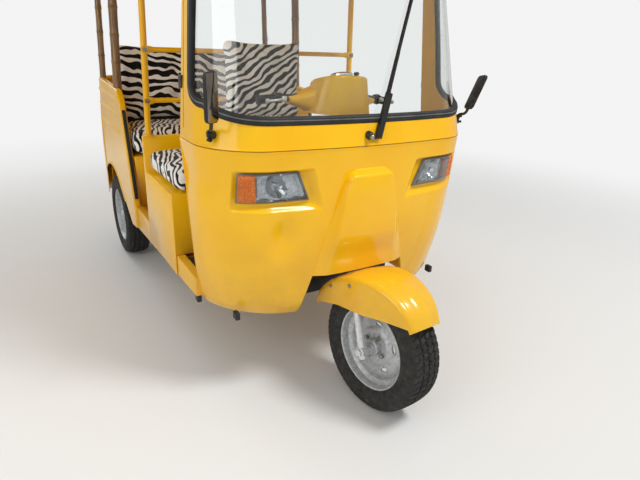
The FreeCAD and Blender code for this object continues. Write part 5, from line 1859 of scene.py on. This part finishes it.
def engine_lid():
    """The flap with a pressed border, five louvres, hinges and a turn catch."""
    half, foot, top = 374.0, 372.0, 654.0
    us = [-half + 2 * half * k / 82.0 for k in range(83)]
    zs = [foot + (top - foot) * k / 94.0 for k in range(95)]

    def point(x, z):
        edge = min(half - abs(x), z - foot, top - z)
        out = 4.0 * smooth_step((edge - 14.0) / 12.0)
        for base in (430.0, 470.0, 510.0, 550.0, 590.0):
            wide = smooth_step((230.0 - abs(x)) / 14.0)
            s = (z - base) / 22.0
            if 0 <= s <= 1:
                out += 10.0 * wide * smooth_step(s * 3.0) * (1 - s) ** 0.7
        return at(x, REAR_Y - 3.0 + out - 3.0, z)

    skin = sheet_of("lid_skin", point, us, zs)
    modify(skin, "SOLIDIFY", thickness=3.0 * MM, offset=1.0)
    flange = []
    for x0, x1, z0, z1 in ((-half, -half + 3, foot, top), (half - 3, half, foot, top),
                           (-half, half, foot, foot + 3), (-half, half, top - 3, top)):
        flange.append(block("lid_flange", (x0, 2375, z0), (x1, 2395, z1), 0.8, 2))
    piece = joined("engine_cover", [skin] + flange)
    tidy_mesh(piece, 0.00001, 40)
    dress(piece, YELLOW, "engine_lid", ("engine_lid",))
    parts = []
    for x in (-250.0, 250.0):
        parts.append(bar("moving_knuckle", (x - 20, 2409, 663), (x + 20, 2409, 663), 7.0, 32, 1.0))
        parts.append(block("moving_leaf", (x - 20, 2401, 606), (x + 20, 2404, 660), 1.0, 2))
    catch = [(-6, 0.01), (-6, 15), (3, 15), (6, 12), (6, 0.01)]
    parts.append(turned("catch", catch, (0, 2399, 394), Vector((0, 1, 0)), 40))
    parts.append(block("catch_grip", (-12, 2403, 391), (12, 2412, 397), 2.0, 3))
    hinge = joined("lid_hinge_moving", parts)
    tidy_mesh(hinge)
    dress(hinge, ZINC, "engine_lid")


def tail_lamps():
    for side, name in ((-1, "right"), (1, "left")):
        x0, x1 = sorted((side * 500.0, side * 420.0))

        def point(u, v, x0=x0, x1=x1, side=side):
            x = x0 + (x1 - x0) * u
            z = 760.0 + 140.0 * v
            edge = min(u * 80.0, (1 - u) * 80.0, v * 140.0, (1 - v) * 140.0)
            over = max(0.0, abs(x) - (BODY_HALF - REAR_CORNER))
            back = rear_y(z) - REAR_CORNER + math.sqrt(REAR_CORNER ** 2 - over ** 2)
            dome = 16.0 * math.sqrt(max(0.0, 1 - (1 - min(edge, 10.0) / 10.0) ** 2))
            rib = 0.8 * math.cos(z * 0.9) * smooth_step((edge - 8) / 6.0)
            split = sum(2.5 * (1 - smooth_step(abs(z - line) / 2.5)) for line in (806.0, 853.0))
            return at(x, back + dome + rib - split - 1.5, z)

        fields = ((0.0, 0.32, LENS), (0.335, 0.66, RED_LENS), (0.675, 1.0, AMBER))
        for number, (low, high, material) in enumerate(fields):
            across = [k / 40.0 for k in range(41)]
            levels = [low + (high - low) * k / 30.0 for k in range(31)]
            lens = sheet_of("tail_lamp_%s_%d" % (name, number + 1), point, across, levels)
            modify(lens, "SOLIDIFY", thickness=2.5 * MM, offset=-1.0)
            tidy_mesh(lens, smooth=40)
            if material is RED_LENS:
                dress(lens, material, replaces=("tail_lamps",))
            else:
                dress(lens, material)


# Roof and posts


def roof():
    """A crowned moulded roof with a rolled edge and shallow strengthening ribs."""
    half, y0, y1 = 660.0, 130.0, 2420.0
    us = [-1 + k / 66.0 for k in range(133)]
    length = y1 - y0
    end_rows = [2.0 * k / length for k in range(9)] + [(16.0 + 11.5 * k) / length for k in range(1, 17)]
    vs = sorted(end_rows + [1 - s for s in end_rows] + [k / 30.0 for k in range(4, 27)])

    def point(u, v):
        x = half * u
        y = y0 + (y1 - y0) * v
        edge = min(half - abs(x), (y - y0), (y1 - y))
        crown = 62.0 * (1 - u * u)
        drop = 16.0 * (1 - math.sqrt(max(0.0, 1 - (1 - min(edge, 16.0) / 16.0) ** 2)))
        ribs = 0.0
        if 120.0 < y - y0 < y1 - y0 - 120.0:
            ends = smooth_step((y - y0 - 120.0) / 50.0) * smooth_step((y1 - y0 - 120.0 - (y - y0)) / 50.0)
            for line in (-400.0, -200.0, 0.0, 200.0, 400.0):
                ribs += 5.0 * smooth_step(1 - abs(x - line) / 26.0) * ends
        fall = smooth_step((y - y0) / 200.0) * smooth_step((y1 - y) / 200.0)
        return at(x, y, 1800.0 + crown * fall - drop - 6.0 + ribs)

    skin = sheet_of("roof_skin", point, us, vs)
    modify(skin, "SOLIDIFY", thickness=4.0 * MM, offset=-1.0)
    lip = []
    path = [(-half, y0), (-half, y1), (half, y1), (half, y0)]
    for k in range(4):
        (xa, ya), (xb, yb) = path[k], path[(k + 1) % 4]
        x0, x1 = sorted((xa, xb))
        ya, yb = sorted((ya, yb))
        if x0 == x1:
            x0, x1 = (x0, x0 + 5) if x0 < 0 else (x0 - 5, x0)
        else:
            ya, yb = (ya, ya + 5) if ya < 1000 else (ya - 5, ya)
        lip.append(block("roof_lip", (x0, ya, 1755), (x1, yb, 1786), 2.2, 3))
    piece = joined("moulded_roof", [skin] + lip)
    tidy_mesh(piece, 0.00001, 45)
    dress(piece, ROOF_SKIN, replaces=("roof_panel",))


def bamboo_pole(name, foot, head, radius, seed):
    """A pole with ringed nodes and slightly waisted lengths between them."""
    start, end = Vector(foot), Vector(head)
    length = (end - start).length
    count = 5
    outline = [(0.0, 0.01), (0.0, radius - 1.5), (1.5, radius)]
    for k in range(1, count + 1):
        a = length * (k - 1) / count
        b = length * k / count
        for f in (0.12, 0.3, 0.5, 0.7, 0.88):
            waist = 0.9 * math.sin(math.pi * f)
            unevenness = 0.3 * math.sin(seed + 5 * k + f)
            outline.append((a + (b - a) * f, radius - waist + unevenness))
        if k < count:
            outline += [(b - 9, radius + 0.2), (b - 5, radius + 1.8), (b - 2.5, radius + 2.3),
                        (b - 0.8, radius + 0.3), (b + 0.8, radius + 0.3), (b + 2.5, radius + 1.9),
                        (b + 6, radius + 0.4)]
    outline += [(length - 1.5, radius), (length, radius - 1.5), (length, 0.01)]
    return turned(name, outline, foot, (end - start).normalized(), 40)


def posts():
    top = 1766.6
    for end, (x, y), radius in (("front", (562.0, 1745.0), 23.0), ("rear", (560.0, 2190.0), 18.0)):
        base = panel_top(y + radius) + 0.5
        pair = []
        for side in (-1, 1):
            pair.append(bamboo_pole("post", (side * x, y, base), (side * 535.0, y, top), radius, side + y))
        piece = joined("bamboo_" + end, pair)
        tidy_mesh(piece, smooth=45)
        dress(piece, BAMBOO, replaces=("bamboo_posts_" + end,))


# Cushions


def inflate(piece, pressure, shrink):
    """Blows the cushion up as cloth sewn shut, from a form slightly too small."""
    piece.data.transform(Matrix.Scale(shrink, 4))
    cloth = piece.modifiers.new("Cloth", "CLOTH")
    cloth.settings.quality = 6
    cloth.settings.mass = 0.3
    cloth.settings.tension_stiffness = 18
    cloth.settings.compression_stiffness = 18
    cloth.settings.bending_stiffness = 3
    cloth.settings.use_pressure = True
    cloth.settings.uniform_pressure_force = pressure
    cloth.settings.effector_weights.gravity = 0
    cloth.point_cache.frame_start = 1
    cloth.point_cache.frame_end = 20
    for number in range(1, 21):
        bpy.context.scene.frame_set(number)
    choose(piece)
    bpy.ops.object.modifier_apply(modifier=cloth.name)
    bpy.context.scene.frame_set(1)


def cushion(name, node, low, high, soft, voxel=11.0, tufts=(), cover=ZEBRA):
    """A stuffed block with full sides; tufts are places on its front that are drawn in."""
    a = Vector(low)
    b = Vector(high)
    centre = (a + b) / 2
    size = b - a
    bpy.ops.mesh.primitive_cube_add(size=1.0)
    piece = bpy.context.object
    piece.name = name
    piece.scale = size * MM
    settle(piece)
    modify(piece, "BEVEL", width=soft * MM, segments=6, limit_method="NONE")
    limit = Vector(size) * MM / 2
    modify(piece, "REMESH", mode="VOXEL", voxel_size=voxel * MM)
    start = [v.co.copy() for v in piece.data.vertices]
    inflate(piece, 4.0, 0.97)
    for v, s in zip(piece.data.vertices, start):
        move = v.co - s
        if move.length > 0.024:
            v.co = s + move * (0.024 / move.length)
    for i in range(3):
        reach = max(abs(v.co[i]) for v in piece.data.vertices)
        for v in piece.data.vertices:
            v.co[i] *= limit[i] / reach
    modify(piece, "SMOOTH", factor=0.5, iterations=2)
    for v in piece.data.vertices:
        for i in range(3):
            over = abs(v.co[i]) - limit[i]
            if over > 0:
                v.co[i] = math.copysign(limit[i] + over * 0.15, v.co[i])
        for tx, tz, reach, deep in tufts:
            if v.co.y < 0:
                d = math.hypot(v.co.x - tx * MM, v.co.z - tz * MM) / (reach * MM)
                v.co.y += deep * MM * math.exp(-3.0 * d * d)
    piece.data.transform(Matrix.Translation(at(*centre)))
    tidy_mesh(piece, smooth=60)
    return dress(piece, cover, replaces=(node,))


def bench_gap_shade():
    """A black board in the slot between bench and backrest: painted shade of the gap."""
    board = block("bench_slot_shade_board", (-530, 1852, 850), (530, 1898, 925), 4.0)
    dress(board, BLACK)


def under_brackets():
    """Dark lugs that stick out under the cab's lower edge."""
    made = []
    for side in (-1, 1):
        for x, y in ((566.0, 464.0), (486.0, 262.0)):
            x0, x1 = sorted((side * (x - 9), side * (x + 9)))
            made.append(block("lug", (x0, y - 16, 368), (x1, y + 16, 398), 3.0))
    lugs = joined("cab_lower_lugs", made)
    tidy_mesh(lugs)
    dress(lugs, CHASSIS)


def cushions():
    cushion("driver_seat_cushion", "driver_cushion", (-569, 668, 750.4), (569, 1112, 868), 30.0)
    tufts = [(x, z, 60.0, 26.0) for x in (-95.0, 95.0) for z in (-95.0, 75.0)]
    cushion("driver_backrest_cushion", "driver_backrest", (-200, 1030, 990), (200, 1110.6, 1350), 30.0, 7.0,
            tufts, ZEBRA_DRIVER)
    cushion("bench_cushion", "rear_cushion", (-550, 1462, 740.4), (550, 1900, 890), 44.0)
    rows = [(x, z, 75.0, 34.0) for x in (-410.0, -205.0, 0.0, 205.0, 410.0) for z in (-70.0, 90.0)]
    cushion("bench_backrest_cushion", "rear_backrest", (-540, 1790, 890.4), (540, 1930, 1300), 44.0, 11.0,
            rows, ZEBRA_BACK)


# Chassis, engine and what lies behind


def running_gear():
    softened("chassis", CHASSIS, 4.0, name="chassis_rails")
    softened("steering_head", CHASSIS, 3.0, name="steering_head_tube")
    softened("rear_arm_right", CHASSIS, 3.0, name="trailing_arm_right")
    softened("rear_arm_left", CHASSIS, 3.0, name="trailing_arm_left")
    softened("engine_beam", CHASSIS, 4.0, name="engine_cross_beam")
    softened("rear_deck", YELLOW_FRAME, 3.0, name="luggage_deck")
    softened("rear_seat_base", YELLOW_FRAME, 5.0, name="bench_base")
    made = [block("crankcase", (-168, 1962, 252), (168, 2213, 400), 14.0, 4)]
    for k in range(12):
        z = 408.0 + 9.0 * k
        made.append(block("fin", (-120, 1985, z), (120, 2190, z + 3.5), 1.2, 2))
    made.append(block("barrel", (-95, 2005, 398), (95, 2170, 516), 8.0, 3))
    made.append(bar("side_cover", (-169.5, 2080, 320), (-150, 2080, 320), 62.0, 64, 6.0))
    made.append(bar("side_cover", (150, 2080, 320), (169.5, 2080, 320), 62.0, 64, 6.0))
    piece = joined("engine_block", made)
    tidy_mesh(piece, smooth=40)
    dress(piece, ENGINE, replaces=("engine",))


# Camera, light and floor


def camera():
    """The photograph's viewpoint: 1.12 m to the right of the middle, 1.32 m ahead of the front axle."""
    yaw, pitch, roll = 0.560302, 0.373766, -0.0437696
    flat = Vector((math.sin(yaw), math.cos(yaw), 0))
    right = Vector((math.cos(yaw), -math.sin(yaw), 0))
    up = Vector((0, 0, 1))
    ahead = flat * math.cos(pitch) - up * math.sin(pitch)
    down = -(flat * math.sin(pitch) + up * math.cos(pitch))
    r = right * math.cos(roll) + down * math.sin(roll)
    d = right * -math.sin(roll) + down * math.cos(roll)
    data = bpy.data.cameras.new("Camera")
    data.sensor_width = 36.0
    data.lens = 28.398
    eye = bpy.data.objects.new("Camera", data)
    bpy.context.scene.collection.objects.link(eye)
    turn = Matrix((r, -d, -ahead)).transposed().to_4x4()
    eye.matrix_world = Matrix.Translation(at(-1118.82, -1318.52, 1361.96)) @ turn
    bpy.context.scene.camera = eye


def lamp_at(name, x, y, z, size, power, target=(0, 1000, 700)):
    data = bpy.data.lights.new(name, "AREA")
    data.shape = "DISK"
    data.size = size
    data.energy = power
    light = bpy.data.objects.new(name, data)
    bpy.context.scene.collection.objects.link(light)
    light.location = at(x, y, z)
    way = at(*target) - light.location
    light.rotation_mode = "QUATERNION"
    light.rotation_quaternion = way.to_track_quat("-Z", "Y")


def seen_by_eye(tree):
    """1 on rays that reach the camera straight or through glass, 0 on reflected light."""
    rays = add(tree, "ShaderNodeLightPath").outputs
    return add(tree, "ShaderNodeMath", {0: rays["Is Camera Ray"], 1: rays["Is Transmission Ray"]},
               operation="MAXIMUM").outputs["Value"]


def studio():
    """A pale floor that melts into the white surroundings, and three soft lamps."""
    bpy.ops.mesh.primitive_plane_add(size=60.0, location=(0, 0, 0))
    floor = bpy.context.object
    floor.name = "studio_floor"
    material, tree, shader = new_material("pale_studio_floor", Base_Color=linear("E4E4E2"), Roughness=0.9)
    away = add(tree, "ShaderNodeVectorMath", {0: spots(tree)}, operation="LENGTH").outputs["Value"]
    far = add(tree, "ShaderNodeMapRange", {"Value": away, "From Min": 1.9, "From Max": 5.5},
              interpolation_type="SMOOTHSTEP").outputs["Result"]
    faded = add(tree, "ShaderNodeMath", {0: far, 1: seen_by_eye(tree)}, operation="MULTIPLY")
    glow = add(tree, "ShaderNodeEmission", {"Strength": 0.9})
    mixed = add(tree, "ShaderNodeMixShader", {0: faded.outputs["Value"], 1: shader.outputs["BSDF"],
                                              2: glow.outputs["Emission"]})
    tree.links.new(mixed.outputs["Shader"], tree.nodes["Material Output"].inputs["Surface"])
    floor.data.materials.append(material)
    world = bpy.data.worlds.new("studio")
    bpy.context.scene.world = world
    world.use_nodes = True
    tree = world.node_tree
    tree.nodes.clear()
    strength = add(tree, "ShaderNodeMapRange", {"Value": seen_by_eye(tree), "To Min": 0.5, "To Max": 0.9})
    sky = add(tree, "ShaderNodeBackground", {"Color": (1, 1, 1, 1), "Strength": strength.outputs["Result"]})
    add(tree, "ShaderNodeOutputWorld", {"Surface": sky.outputs["Background"]})
    lamp_at("key", 1800, -2200, 5400, 1.6, 200)
    lamp_at("fill", -3600, -600, 2400, 3.0, 46)
    lamp_at("rim", -1200, 5200, 3200, 2.4, 55)
    bpy.context.scene.view_settings.view_transform = "Standard"


def plain_nodes():
    """The finish of a CAD piece that is shown as it is."""
    data = NODES["roof_frame"].data
    data.materials.clear()
    data.materials.append(YELLOW_FRAME)


plain_nodes()
front_shell()
belt_lip()
inner_lining()
door_edge(-1.0, SHELL_SECTIONS, 384.0, BELT_Z, "door_edge_right", SHELL_WALL)
door_edge(1.0, SHELL_SECTIONS, 384.0, BELT_Z, "door_edge_left", SHELL_WALL)
apron()
windscreen_frame()
windscreen_seal()
windscreen_glass()
pillar_trim(-1.0)
pillar_trim(1.0)
headlamps()
wheels()
front_fender()
fork()
handlebar()
handlebar_cowl()
mirror("mirror_right_head", "mirror_right", (-561.0, 267.0, 1068.0), (-582.0, 192.0, 1192.0), 36.0, 0.0)
mirror("mirror_left_head", "mirror_left", (572.0, 294.0, 1076.0), (606.0, 240.0, 1190.0), 70.0, 26.0)
wiper()
driver_area()
back_frame()
rear_side(-1)
rear_side(1)
rear_panel()
engine_lid()
tail_lamps()
roof()
posts()
cushions()
bench_gap_shade()
under_brackets()
running_gear()
camera()
studio()
